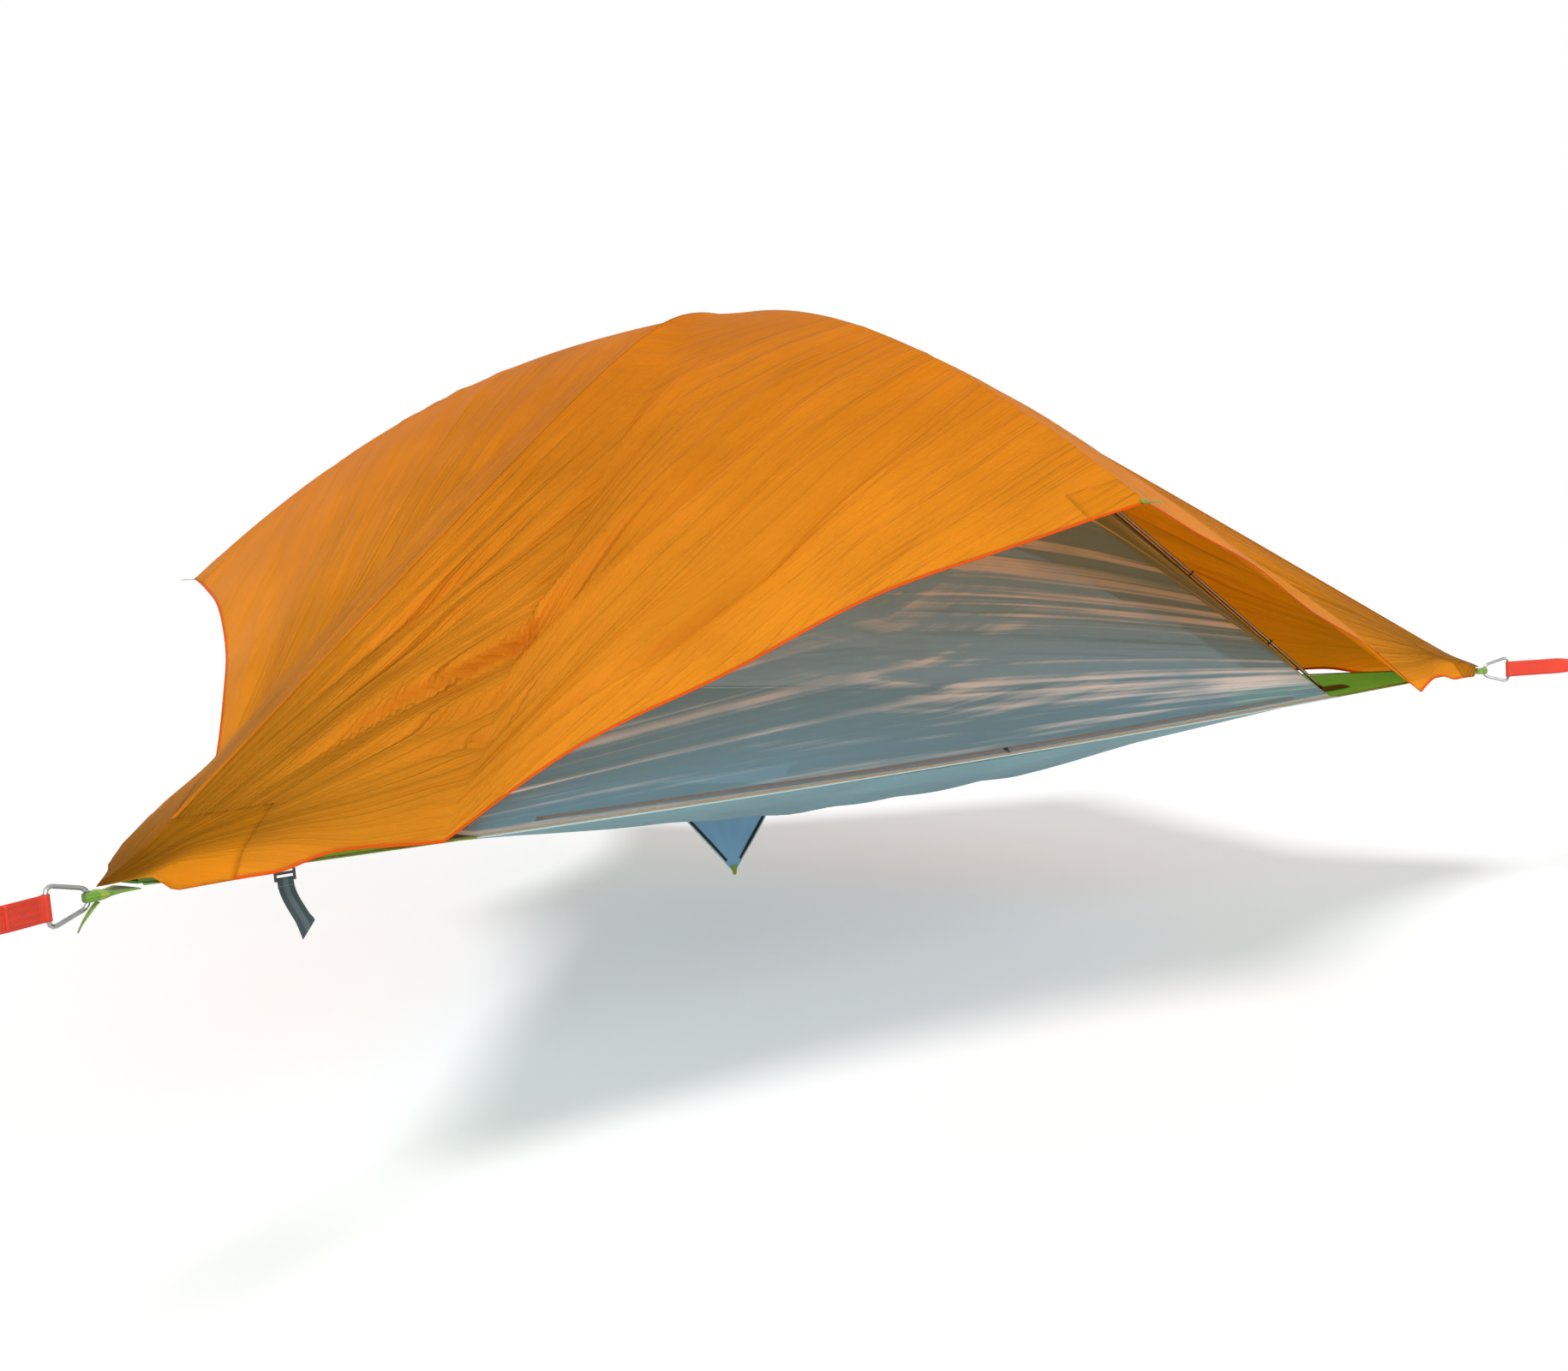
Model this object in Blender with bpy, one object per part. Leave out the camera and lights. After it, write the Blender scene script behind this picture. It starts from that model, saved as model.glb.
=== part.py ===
"""Tree tent slung between three anchors.

A hammock floor with a bottom hatch is stretched between three corner rings. A mesh inner tent
stands on it, carried by three bent pole arms that meet in a hub, and a fly in three panels covers
both. A twisted webbing strap joins each ring to a ratchet, which takes the sling of a tree.

The origin is the middle of the anchor triangle, in the plane of the three rings. +Z is up, and
the front edge of the floor, with the raised side of the fly, faces -Y.
"""
import functools
import math

import bmesh
import bpy
import numpy as np
from mathutils import Matrix, Vector
from mathutils.bvhtree import BVHTree

# The anchor triangle: equilateral, measured from corner to corner
SIDE_LENGTH = 4.0
ANCHOR_BEARINGS = (210, 330, 90)
HALF_CORNER = math.radians(30)
ANCHOR_RADIUS = SIDE_LENGTH / 2 / math.cos(HALF_CORNER)
EDGE_REACH = ANCHOR_RADIUS * math.sin(HALF_CORNER)

# Gaps between sewn or touching pieces
GAP = 0.0004
CUT_OVERRUN = 0.004

# Hammock floor: how far it sinks below the plane of the rings
EDGE_SAG = 0.027
FLOOR_SAG = 0.145
FLOOR_EVENNESS = 4
TROUGH_LENGTH = 1.84
TROUGH_POWER = 1.2
FLOOR_THICKNESS = 0.0015
CORNER_CUT = 0.70
SEAM_BOW = 0.20

# Edge webbing
WEBBING_WIDTH = 0.025
WEBBING_THICKNESS = 0.002
EDGE_START = 0.085

# Pole foot patch in each corner
PATCH_LENGTH = 0.16
PATCH_WIDTH = 0.10
PATCH_THICKNESS = 0.0015
PATCH_LIFT = 0.0015

# Hatch in the middle of the floor, hinged on its far side
HATCH_CENTRE_X = -0.07
HATCH_HINGE_Y = 0.12
HATCH_WIDTH = 0.54
HATCH_LENGTH = 0.34
HATCH_MARGIN = 0.004
HINGE_GAP = 0.0015
FLAP_THICKNESS = 0.002
FLAP_FOLD = 0.012
FLAP_TAB_WIDTH = 0.024
FLAP_TAB_LENGTH = 0.032
FLAP_TAB_THICKNESS = 0.0015

# Zip sliders of the hatch
SLIDER_LENGTH = 0.014
SLIDER_WIDTH = 0.009
SLIDER_HEIGHT = 0.004
SLIDER_LIFT = 0.0014
SLIDER_START = 0.035
PULL_LENGTH = 0.026
PULL_WIDTH = 0.005
PULL_THICKNESS = 0.0016

# Pole arms and hub
POLE_RADIUS = 0.0055
FERRULE_RADIUS = 0.0065
FERRULE_LENGTH = 0.07
POLE_SECTIONS = 5
POLE_FOOT = 1.80
POLE_TOP = 1.19
POLE_BEND = 0.53
BEND_POWER = 3
HUB_RADIUS = 0.032
HUB_HEIGHT = 0.026
SOCKET_RADIUS = 0.0105
SOCKET_REACH = 0.085
SOCKET_FLOOR = 0.038
POLE_FIT = 0.0006

# Mesh walls of the inner tent
MESH_THICKNESS = 0.001
WALL_FOOT = 1.742
WALL_HANG = 0.016
WALL_EYE = 0.010
WALL_DRAW_IN = 0.10
WALL_TAUTNESS = 0.7
WALL_LIFT = 0.004

# Fly: three panels from the peak to the rings and the raised tips
FLY_PEAK = 1.262
FLY_CORNER_RADIUS = 2.262
FLY_CORNER_HEIGHT = 0.010
FLY_TIP_RADIUS = 1.76
FLY_TIP_HEIGHT = 0.566
FLY_THICKNESS = 0.0012
FLY_BEND = 0.398
FLY_EYE_SHARE = 0.004
FLY_OVERHANG = 0.035
FLY_FOLD = 0.010
FLY_FOLDS = 3
FLY_BLEND = 0.7
FLY_TURN_SHARE = 0.28
FLY_EDGE_HOLLOW = 0.06
FLY_EDGE_RISE = 0.055
FLY_DRAPE_POWER = 4

# Webbing tabs of the fly
TAB_WIDTH = 0.020
TAB_THICKNESS = 0.0016
TAB_LENGTH = 0.042
TAB_SLOT = 0.012

# Where each free edge of the fly turns up beside a ring: its distance from the ring and its
# height, as shares of the side of the anchor triangle, by anchor and by the way that the edge goes
FLY_TURN_SHARES = {
    (0, 1): (0.157, -0.001),
    (0, -1): (0.168, 0.039),
    (1, -1): (0.0875, -0.0078),
    (1, 1): (0.18, 0.0),
    (2, 1): (0.125, 0.0075),
    (2, -1): (0.125, 0.0075),
}

# How the middle line of each fly panel falls from the peak to its raised tip: 1 is straight
FLY_RIDGE_POWERS = (1.7, 2.0, 2.0)

# Corner loop and ring, which swing up and down together about the root of the loop
HANGER_HEIGHT = -0.010
LOOP_ROOT = 2.238
LOOP_ROOT_WIDTH = 0.088
LOOP_WIDTH = 0.022
LOOP_THICKNESS = 0.004
LOOP_HEIGHT = 0.024
LOOP_GAP = 0.0022
RING_APEX = 2.315
RING_WIRE = 0.0045
RING_LENGTH = 0.078
RING_BAR = 0.072
RING_CORNER = 0.011

# Tree strap, from the bar of the ring to the ratchet
STRAP_WIDTH = 0.048
STRAP_THICKNESS = 0.002
STRAP_LENGTH = 0.40
STRAP_FIT = 0.0006

# Ratchet: frame, spool, handle and two pawls
PLATE_THICKNESS = 0.0025
FRAME_INNER = 0.054
FRAME_HEIGHT = 0.034
BOLT_RADIUS = 0.005
HEAD_SHARE = 1.6
BOLT_TO_SPOOL = 0.115
FRAME_NOSE = 0.024
SHOULDER_SHARE = 0.62
SPOOL_RADIUS = 0.0085
SPOOL_SLOT = 0.0046
FLANGE_SHARE = 1.45
SPOOL_FIT = 0.0006
WHEEL_TEETH = 12
WHEEL_RADIUS = 0.021
WHEEL_ROOT = 0.0165
TOOTH_SHARES = ((0.18, 0), (0.20, 1), (0.25, 1), (0.33, 0.42), (0.75, 0))
WHEEL_THICKNESS = 0.003
SIDE_GAP = 0.0006
HANDLE_LENGTH = 0.155
HANDLE_HEIGHT = 0.030
GRIP_RADIUS = 0.010
GRIP_BAR_SHARE = 0.9
HANDLE_SHOULDER_SHARE = 1.25
PAWL_THICKNESS = 0.003
PAWL_WIDTH = 0.012
PAWL_FIT = 0.0004
LOCK_PAWL_REACH = 0.0188
LOCK_PAWL_INNER = 0.030
HANDLE_PAWL_INNER = 0.036
HANDLE_PAWL_ANGLE = 150
HANDLE_PAWL_TRAVEL = 0.007
LOCK_PAWL_TRAVEL = 0.006
THUMB_LENGTH = 0.014
THUMB_SHARE = 0.7

# Loose webbing tail under the left corner, and its buckle
TAIL_WIDTH = 0.030
TAIL_THICKNESS = 0.0015
TAIL_LENGTH = 0.13
TAIL_FROM_RING = 0.33
TAIL_SWING = 0.032
TAIL_LEAN = 0.010
TAIL_TWIST_SHARE = 0.35
TAIL_CUT_SHARE = 0.3
BUCKLE_WIDTH = 0.040
BUCKLE_HEIGHT = 0.030
BUCKLE_THICKNESS = 0.004
BUCKLE_BAR = 0.005

# How finely the curved pieces are divided
FLY_ROWS = 10
FLY_COLUMNS = 12
FLY_TURN_COLUMNS = 4
WALL_ROWS = 6
WALL_COLUMNS = 16
WALL_CORNER_COLUMNS = 2
FLOOR_ROWS = 4
FLOOR_RAYS = 20
FLAP_ROWS = 6
FLAP_COLUMNS = 8
PATCH_STEPS = 4
CORNER_ROWS = 7
CORNER_COLUMNS = 8
EDGE_STEPS = 16
ROUND_SIDES = 16
SMALL_SIDES = 12
WIRE_SIDES = 8
POLE_SIDES = 6
POLE_STEPS = 14
STRAP_STEPS = 16


def spot(bearing, radius, height=0.0):
    """The point at a bearing in degrees from +X, a radius from the middle and a height."""
    angle = math.radians(bearing)
    return np.array([radius * math.cos(angle), radius * math.sin(angle), height])


ANCHORS = [spot(bearing, ANCHOR_RADIUS) for bearing in ANCHOR_BEARINGS]


def anchor_shares(point):
    """How much of each anchor is in a point of the plane: 1 at the anchor, 0 on the far edge."""
    return [(1 + 2 * float(np.dot(point[:2], a[:2])) / ANCHOR_RADIUS**2) / 3 for a in ANCHORS]


def hammock(point):
    """Height of the hanging floor over a point: edges sag a little, the middle sinks evenly."""
    shares = anchor_shares(point)
    a, b, c = shares
    sag = 4 * EDGE_SAG * (a * b + b * c + c * a)
    low = max(min(shares), 0.0)
    if low == 0.0:
        return -sag
    power = FLOOR_EVENNESS
    least = sum(share**-power for share in shares) ** (-1 / power)
    middle = 3 ** (-1 - 1 / power)
    depth = 1 - (1 - min(least / middle, 1.0)) ** power
    trough = min((1 - max(shares)) * SIDE_LENGTH / TROUGH_LENGTH, 1.0) ** TROUGH_POWER
    return -sag - FLOOR_SAG * depth * trough


def crown(share, roundness):
    """From 1 at the top to 0 at the end of a span: round over the top, then nearly straight."""
    power = BEND_POWER
    rise = (roundness**power + share**power) ** (1 / power) - roundness
    return 1 - rise / ((roundness**power + 1) ** (1 / power) - roundness)


def material(name, colour, roughness, metallic=0.0, alpha=1.0):
    """A material of one colour."""
    made = bpy.data.materials.new(name)
    made.use_nodes = True
    shader = made.node_tree.nodes["Principled BSDF"]
    shader.inputs["Base Color"].default_value = (*colour, 1.0)
    shader.inputs["Roughness"].default_value = roughness
    shader.inputs["Metallic"].default_value = metallic
    shader.inputs["Alpha"].default_value = alpha
    return made


def add_object(name, mesh, look, parent=None, location=(0, 0, 0)):
    """Put a mesh into the scene under its name."""
    made = bpy.data.objects.new(name, mesh)
    bpy.context.scene.collection.objects.link(made)
    made.parent = parent
    made.location = location
    if not mesh.materials:
        mesh.materials.append(look)
    return made


def mesh_of(name, points, faces, smooth_angle=40):
    """A closed mesh with its faces turned outwards."""
    mesh = bpy.data.meshes.new(name)
    mesh.from_pydata([tuple(map(float, p)) for p in points], [], faces)
    shape = bmesh.new()
    shape.from_mesh(mesh)
    bmesh.ops.recalc_face_normals(shape, faces=shape.faces)
    shape.to_mesh(mesh)
    shape.free()
    mesh.shade_smooth()
    mesh.set_sharp_from_angle(angle=math.radians(smooth_angle))
    return mesh


def open_sheet(grid, closed=False):
    """The points and triangles of a surface without thickness along a grid."""
    grid = np.asarray(grid, float)
    rows, columns = grid.shape[:2]
    faces = []
    for i in range(rows - 1):
        for j in range(columns if closed else columns - 1):
            k = (j + 1) % columns
            corners = (i * columns + j, i * columns + k, (i + 1) * columns + k, (i + 1) * columns + j)
            faces.append((corners[0], corners[1], corners[2]))
            faces.append((corners[0], corners[2], corners[3]))
    return grid.reshape(-1, 3).tolist(), faces


def sheet_mesh(name, grid, thickness, direction=(0, 0, 1), closed=False):
    """A cloth along a grid of rows and columns, thickened both ways along one direction.

    closed joins the last column to the first, for a sheet that goes all round a hole.
    """
    grid = np.asarray(grid, float)
    rows, columns = grid.shape[:2]
    offset = np.asarray(direction, float) * thickness / 2
    points = np.concatenate([(grid + offset).reshape(-1, 3), (grid - offset).reshape(-1, 3)])
    below = rows * columns
    faces = open_sheet(grid, closed)[1]
    faces += [(c + below, b + below, a + below) for a, b, c in faces]
    rims = []
    for j in range(columns if closed else columns - 1):
        k = (j + 1) % columns
        rims.append((j, k))
        rims.append(((rows - 1) * columns + k, (rows - 1) * columns + j))
    if not closed:
        for i in range(rows - 1):
            rims.append(((i + 1) * columns, i * columns))
            rims.append((i * columns + columns - 1, (i + 1) * columns + columns - 1))
    for a, b in rims:
        faces.append((b, a, a + below))
        faces.append((b, a + below, b + below))
    return mesh_of(name, points, faces)


def tube_mesh(name, path, radii, sides, closed=False):
    """A round bar along a path, with a radius at each of its points."""
    path = [Vector(p) for p in path]
    count = len(path)
    across = None
    points = []
    for i, centre in enumerate(path):
        ahead = path[(i + 1) % count] if closed or i + 1 < count else path[i]
        behind = path[i - 1] if closed or i else path[i]
        along = (ahead - behind).normalized()
        if across is None:
            across = along.cross(Vector((0.31, 0.87, 0.39))).normalized()
        across = (across - along * across.dot(along)).normalized()
        up = along.cross(across)
        for side in range(sides):
            angle = math.tau * side / sides
            points.append(centre + radii[i] * (math.cos(angle) * across + math.sin(angle) * up))
    faces = []
    for i in range(count if closed else count - 1):
        k = (i + 1) % count
        for side in range(sides):
            after = (side + 1) % sides
            faces.append((i * sides + side, i * sides + after, k * sides + after, k * sides + side))
    if not closed:
        faces.append(tuple(range(sides)))
        faces.append(tuple((count - 1) * sides + side for side in range(sides)))
    return mesh_of(name, points, faces)


def prism_mesh(name, outline, low, high, axis):
    """An outline in the plane square to an axis (0, 1 or 2), carried from low to high along it."""
    count = len(outline)
    points = []
    for level in (low, high):
        for u, v in outline:
            points.append(np.insert(np.array([u, v], float), axis, level))
    faces = [tuple(range(count)), tuple(range(2 * count - 1, count - 1, -1))]
    for i in range(count):
        k = (i + 1) % count
        faces.append((i, i + count, k + count, k))
    return mesh_of(name, points, faces)


def circle(radius, sides=ROUND_SIDES, centre=(0, 0), start=0.0):
    """Points round a circle."""
    angles = [start + math.tau * i / sides for i in range(sides)]
    return [(centre[0] + radius * math.cos(a), centre[1] + radius * math.sin(a)) for a in angles]


def arc(radius, first, last, centre, steps):
    """Points along an arc, with angles in degrees."""
    angles = [math.radians(first + (last - first) * i / steps) for i in range(steps + 1)]
    return [(centre[0] + radius * math.cos(a), centre[1] + radius * math.sin(a)) for a in angles]


def box_mesh(name, low, high):
    """A box between two corners."""
    outline = [(low[0], low[1]), (high[0], low[1]), (high[0], high[1]), (low[0], high[1])]
    return prism_mesh(name, outline, low[2], high[2], 2)


def shaped(base, operation, tools):
    """The base mesh joined with the tool meshes, or cut by them, one after the other."""
    body = bpy.data.objects.new("body", base)
    bpy.context.scene.collection.objects.link(body)
    for tool_mesh in tools:
        tool = bpy.data.objects.new("tool", tool_mesh)
        bpy.context.scene.collection.objects.link(tool)
        step = body.modifiers.new("step", "BOOLEAN")
        step.operation = operation
        step.solver = "EXACT"
        step.object = tool
        graph = bpy.context.evaluated_depsgraph_get()
        result = bpy.data.meshes.new_from_object(body.evaluated_get(graph))
        body.modifiers.clear()
        body.data = result
        bpy.data.objects.remove(tool)
    result = body.data
    bpy.data.objects.remove(body)
    shape = bmesh.new()
    shape.from_mesh(result)
    bmesh.ops.triangulate(shape, faces=shape.faces)
    shape.to_mesh(result)
    shape.free()
    result.materials.clear()
    result.shade_smooth()
    result.set_sharp_from_angle(angle=math.radians(40))
    return result


def rim_point(anchor, side, distance):
    """A point on the straight line from an anchor towards its neighbour on one side."""
    start = ANCHORS[anchor]
    towards = ANCHORS[(anchor + side) % 3] - start
    return start + towards / SIDE_LENGTH * distance


def laid(point, lift=0.0):
    """The point moved onto the hanging floor, or above it by a lift."""
    return np.array([point[0], point[1], hammock(point) + lift])


def seam_distance(lateral_share):
    """Distance from the ring, along the rim, of the seam between floor and corner panel."""
    return CORNER_CUT + SEAM_BOW * (1 - lateral_share**2)


def corner_point(anchor, distance, lateral_share):
    """A point of a corner: a distance from the ring, from rim (-1) to rim (1)."""
    inset = WEBBING_WIDTH / 2 + GAP
    ring = ANCHORS[anchor]
    inward = -ring / ANCHOR_RADIUS
    across = np.array([-inward[1], inward[0], 0.0])
    half_width = distance * math.sin(HALF_CORNER) - inset / math.cos(HALF_CORNER)
    return ring + inward * distance * math.cos(HALF_CORNER) + across * half_width * lateral_share


def lateral_shares():
    """Columns of a corner panel, closer together beside the rims, where it is steepest."""
    steps = [2 * j / CORNER_COLUMNS - 1 for j in range(CORNER_COLUMNS + 1)]
    return [math.copysign(1 - (1 - abs(step)) ** 1.4, step) for step in steps]


def corner_grid(anchor):
    """The corner panel from the seam to its tip at the ring, on the hanging surface."""
    grid = []
    for i in range(CORNER_ROWS + 1):
        share = i / CORNER_ROWS
        row = []
        for lateral in lateral_shares():
            far = seam_distance(lateral) - GAP
            distance = far + (EDGE_START - far) * share
            row.append(laid(corner_point(anchor, distance, lateral)))
        grid.append(row)
    return np.array(grid)


def corner_mesh(anchor):
    """A corner panel as a cloth."""
    return sheet_mesh("corner_panel", corner_grid(anchor), FLOOR_THICKNESS)


def make_corner_panels(look):
    """The green troughs between the floor and the rings."""
    for anchor in range(3):
        add_object(f"corner_panel_{anchor + 1}", corner_mesh(anchor), look)


def floor_outline():
    """The outer edge of the floor: three straight sides, and a bowed seam at each corner."""
    points = []
    for anchor in range(3):
        for lateral in reversed(lateral_shares()):
            points.append(corner_point(anchor, seam_distance(lateral), lateral))
    return points


def hatch_corners():
    """The two hinge corners and the tip of the hatch opening, in the plane."""
    left = (HATCH_CENTRE_X - HATCH_WIDTH / 2, HATCH_HINGE_Y)
    right = (HATCH_CENTRE_X + HATCH_WIDTH / 2, HATCH_HINGE_Y)
    return [left, (HATCH_CENTRE_X, HATCH_HINGE_Y - HATCH_LENGTH), right]


def reach(start, direction, outline):
    """How far a ray runs in the plane until it leaves a closed outline."""
    farthest = 0.0
    for a, b in zip(outline, outline[1:] + outline[:1]):
        side = np.array([b[0] - a[0], b[1] - a[1]])
        gap = np.array([a[0] - start[0], a[1] - start[1]])
        turn = direction[0] * side[1] - direction[1] * side[0]
        if abs(turn) < 1e-12:
            continue
        along = (gap[0] * side[1] - gap[1] * side[0]) / turn
        across = (gap[0] * direction[1] - gap[1] * direction[0]) / turn
        if along > 0 and -1e-9 <= across <= 1 + 1e-9:
            farthest = max(farthest, along)
    return farthest


def floor_mesh():
    """The hammock floor, as rings from the hatch opening to the outer edge."""
    outer = floor_outline()
    inner = hatch_corners()
    centre = (HATCH_CENTRE_X, HATCH_HINGE_Y - HATCH_LENGTH / 3)
    kept = [math.atan2(p[1] - centre[1], p[0] - centre[0]) % math.tau for p in outer + inner]
    pitch = math.tau / FLOOR_RAYS
    for angle in [pitch * i for i in range(FLOOR_RAYS)]:
        if all(abs(angle - other) > pitch / 3 for other in kept):
            kept.append(angle)
    kept.sort()
    grid = []
    for i in range(FLOOR_ROWS + 1):
        share = 1 - (1 - i / FLOOR_ROWS) ** 1.5
        row = []
        for angle in kept:
            direction = (math.cos(angle), math.sin(angle))
            near = reach(centre, direction, inner)
            far = reach(centre, direction, outer)
            run = near + (far - near) * share
            row.append(laid((centre[0] + direction[0] * run, centre[1] + direction[1] * run)))
        grid.append(row)
    return sheet_mesh("floor_panel", grid, FLOOR_THICKNESS, closed=True)


@functools.cache
def hanging_surface():
    """The floor and the corner panels as they hang, to lay other pieces on."""
    shape = bmesh.new()
    for mesh in [floor_mesh()] + [corner_mesh(anchor) for anchor in range(3)]:
        shape.from_mesh(mesh)
        bpy.data.meshes.remove(mesh)
    surface = BVHTree.FromBMesh(shape)
    shape.free()
    return surface


def resting_height(point):
    """Height of the upper face of the floor or corner panel under a point."""
    hit = hanging_surface().ray_cast(Vector((point[0], point[1], POLE_TOP)), Vector((0, 0, -1)))
    return hit[0].z


def patch_grid(anchor):
    """The middle of the patch under a pole arm's foot, laid on the corner panel."""
    bearing = ANCHOR_BEARINGS[anchor]
    lift = PATCH_LIFT + PATCH_THICKNESS / 2
    grid = []
    for i in range(PATCH_STEPS + 1):
        middle = spot(bearing, POLE_FOOT + PATCH_LENGTH * (i / PATCH_STEPS - 1 / 2))
        row = []
        for j in range(PATCH_STEPS + 1):
            point = middle + spot(bearing + 90, PATCH_WIDTH * (j / PATCH_STEPS - 1 / 2))
            row.append((point[0], point[1], resting_height(point) + lift))
        grid.append(row)
    return grid


def make_pole_patches(look):
    """The dark patch in each trough that a pole arm stands on."""
    for anchor in range(3):
        mesh = sheet_mesh("pole_patch", patch_grid(anchor), PATCH_THICKNESS)
        add_object(f"pole_patch_{anchor + 1}", mesh, look)


def make_floor(look):
    """The floor panel."""
    add_object("floor_panel", floor_mesh(), look)


def make_edge_webbings(look):
    """The webbing along each straight edge, from ring to ring."""
    for anchor in range(3):
        grid = []
        for i in range(EDGE_STEPS + 1):
            run = SIDE_LENGTH - 2 * EDGE_START
            point = rim_point(anchor, 1, EDGE_START + run * i / EDGE_STEPS)
            middle = (ANCHORS[anchor] + ANCHORS[(anchor + 1) % 3]) / 2
            outward = middle / np.linalg.norm(middle) * WEBBING_WIDTH / 2
            centre = laid(point)
            grid.append([centre - outward, centre + outward])
        mesh = sheet_mesh("edge_webbing", grid, WEBBING_THICKNESS)
        add_object(f"edge_webbing_{anchor + 1}", mesh, look)


def hatch_edge(side, share):
    """A point in the plane on a side edge of the hatch, from its hinge corner (0) to its tip (1)."""
    left, tip, right = hatch_corners()
    corner = right if side > 0 else left
    return np.array([corner[k] + (tip[k] - corner[k]) * share for k in range(2)])


def hinge_height():
    """Height of the floor where the hatch hangs."""
    return hammock((HATCH_CENTRE_X, HATCH_HINGE_Y))


def make_hatch_flap(flap_look, tab_look):
    """The hatch cover, hanging open from its hinge edge, and the pull tab sewn to its tip."""
    hinge = add_empty("hatch_hinge", (HATCH_CENTRE_X, HATCH_HINGE_Y, hinge_height()))
    drop = HATCH_LENGTH - 3 * HATCH_MARGIN
    grid = []
    for i in range(FLAP_ROWS + 1):
        share = i / FLAP_ROWS * (1 - HATCH_MARGIN / HATCH_WIDTH)
        free = max(1 - 1.5 * FLAP_TAB_LENGTH / HATCH_LENGTH - share, 0)
        half = (HATCH_WIDTH / 2 - 3 * HATCH_MARGIN) * (1 - share) + HATCH_MARGIN
        row = []
        for j in range(FLAP_COLUMNS + 1):
            lateral = 2 * j / FLAP_COLUMNS - 1
            fold = FLAP_FOLD * share * free * 3 * math.sin(2.2 * math.pi * lateral + 4 * share)
            row.append((half * lateral, fold, -HINGE_GAP - drop * share))
        grid.append(row)
    flap = sheet_mesh("hatch_flap", grid, FLAP_THICKNESS, direction=(0, 1, 0))
    add_object("hatch_flap", flap, flap_look, hinge)
    front = -(FLAP_THICKNESS / 2 + GAP)
    bottom = -HATCH_LENGTH
    outline = [
        (-FLAP_TAB_WIDTH / 2, bottom + FLAP_TAB_LENGTH),
        (-FLAP_TAB_WIDTH / 4, bottom),
        (FLAP_TAB_WIDTH / 4, bottom),
        (FLAP_TAB_WIDTH / 2, bottom + FLAP_TAB_LENGTH),
    ]
    tab = prism_mesh("hatch_tab", outline, front - FLAP_TAB_THICKNESS, front, 1)
    add_object("hatch_tab", tab, tab_look, hinge)


def make_hatch_sliders(look):
    """The two zip sliders at the hinge ends of the hatch, each with a pull plate."""
    for side, name in ((-1, "left"), (1, "right")):
        start = hatch_edge(side, 0)
        end = hatch_edge(side, 1)
        along = (end - start) / np.linalg.norm(end - start)
        outward = np.array([-along[1], along[0]]) * side
        place = start + along * SLIDER_START + outward * (SLIDER_WIDTH / 2 + HATCH_MARGIN / 2)
        height = max(hammock(start), hammock(end)) + SLIDER_LIFT
        holder = add_empty(f"slider_path_{name}", (place[0], place[1], height))
        holder.rotation_euler = (0, 0, math.atan2(along[1], along[0]))
        body = [
            (-SLIDER_LENGTH / 2, -SLIDER_WIDTH / 2),
            (SLIDER_LENGTH / 2, -SLIDER_WIDTH / 3),
            (SLIDER_LENGTH / 2, SLIDER_WIDTH / 3),
            (-SLIDER_LENGTH / 2, SLIDER_WIDTH / 2),
        ]
        pull = [
            (-PULL_WIDTH / 2, -PULL_WIDTH / 2),
            (PULL_WIDTH / 2, -PULL_WIDTH / 2),
            (PULL_WIDTH / 2, PULL_WIDTH / 2),
            (-PULL_WIDTH / 2, PULL_WIDTH / 2),
        ]
        stretched = [(u - PULL_LENGTH / 2 if u < 0 else u, v) for u, v in pull]
        top = SLIDER_HEIGHT + PULL_THICKNESS
        plate = prism_mesh("pull", stretched, SLIDER_HEIGHT - PULL_THICKNESS / 2, top, 2)
        mesh = shaped(prism_mesh("slider", body, 0, SLIDER_HEIGHT, 2), "UNION", [plate])
        add_object(f"hatch_slider_{name}", mesh, look, holder)


def add_empty(name, location, parent=None):
    """A named place that pieces hang on."""
    empty = bpy.data.objects.new(name, None)
    bpy.context.scene.collection.objects.link(empty)
    empty.location = location
    empty.parent = parent
    return empty


def pole_height(radius):
    """Height of a pole arm's middle line at a distance from the middle of the tent."""
    foot = pole_foot_height()
    free = POLE_FOOT - SOCKET_REACH
    share = max(radius - SOCKET_REACH, 0) / free
    return foot + (POLE_TOP - foot) * crown(share, POLE_BEND / free)


@functools.cache
def pole_foot_height():
    """Height of the end of a pole arm, standing on its patch."""
    patch_top = min(point[2] for point in patch_grid(0)[PATCH_STEPS // 2]) + PATCH_THICKNESS / 2
    return patch_top + POLE_RADIUS + GAP


def make_pole_arms(look):
    """Three arms, each of sections pushed together at ferrules, bent from hub to corner."""
    run = POLE_FOOT - SOCKET_REACH
    for anchor, bearing in enumerate(ANCHOR_BEARINGS):
        stations = [(SOCKET_REACH + run * i / POLE_STEPS, POLE_RADIUS) for i in range(POLE_STEPS + 1)]
        stations.append((SOCKET_FLOOR + GAP, POLE_RADIUS))
        for section in range(1, POLE_SECTIONS):
            middle = SOCKET_REACH + run * (section - 0.3) / POLE_SECTIONS
            half = FERRULE_LENGTH / 2
            step = FERRULE_RADIUS - POLE_RADIUS
            stations = [s for s in stations if abs(s[0] - middle) > half + 2 * step]
            stations.append((middle - half - step, POLE_RADIUS))
            stations.append((middle - half, FERRULE_RADIUS))
            stations.append((middle + half, FERRULE_RADIUS))
            stations.append((middle + half + step, POLE_RADIUS))
        stations.sort()
        path = [spot(bearing, radius, pole_height(radius)) for radius, _ in stations]
        mesh = tube_mesh("pole_arm", path, [r for _, r in stations], POLE_SIDES)
        add_object(f"pole_arm_{anchor + 1}", mesh, look)


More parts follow.
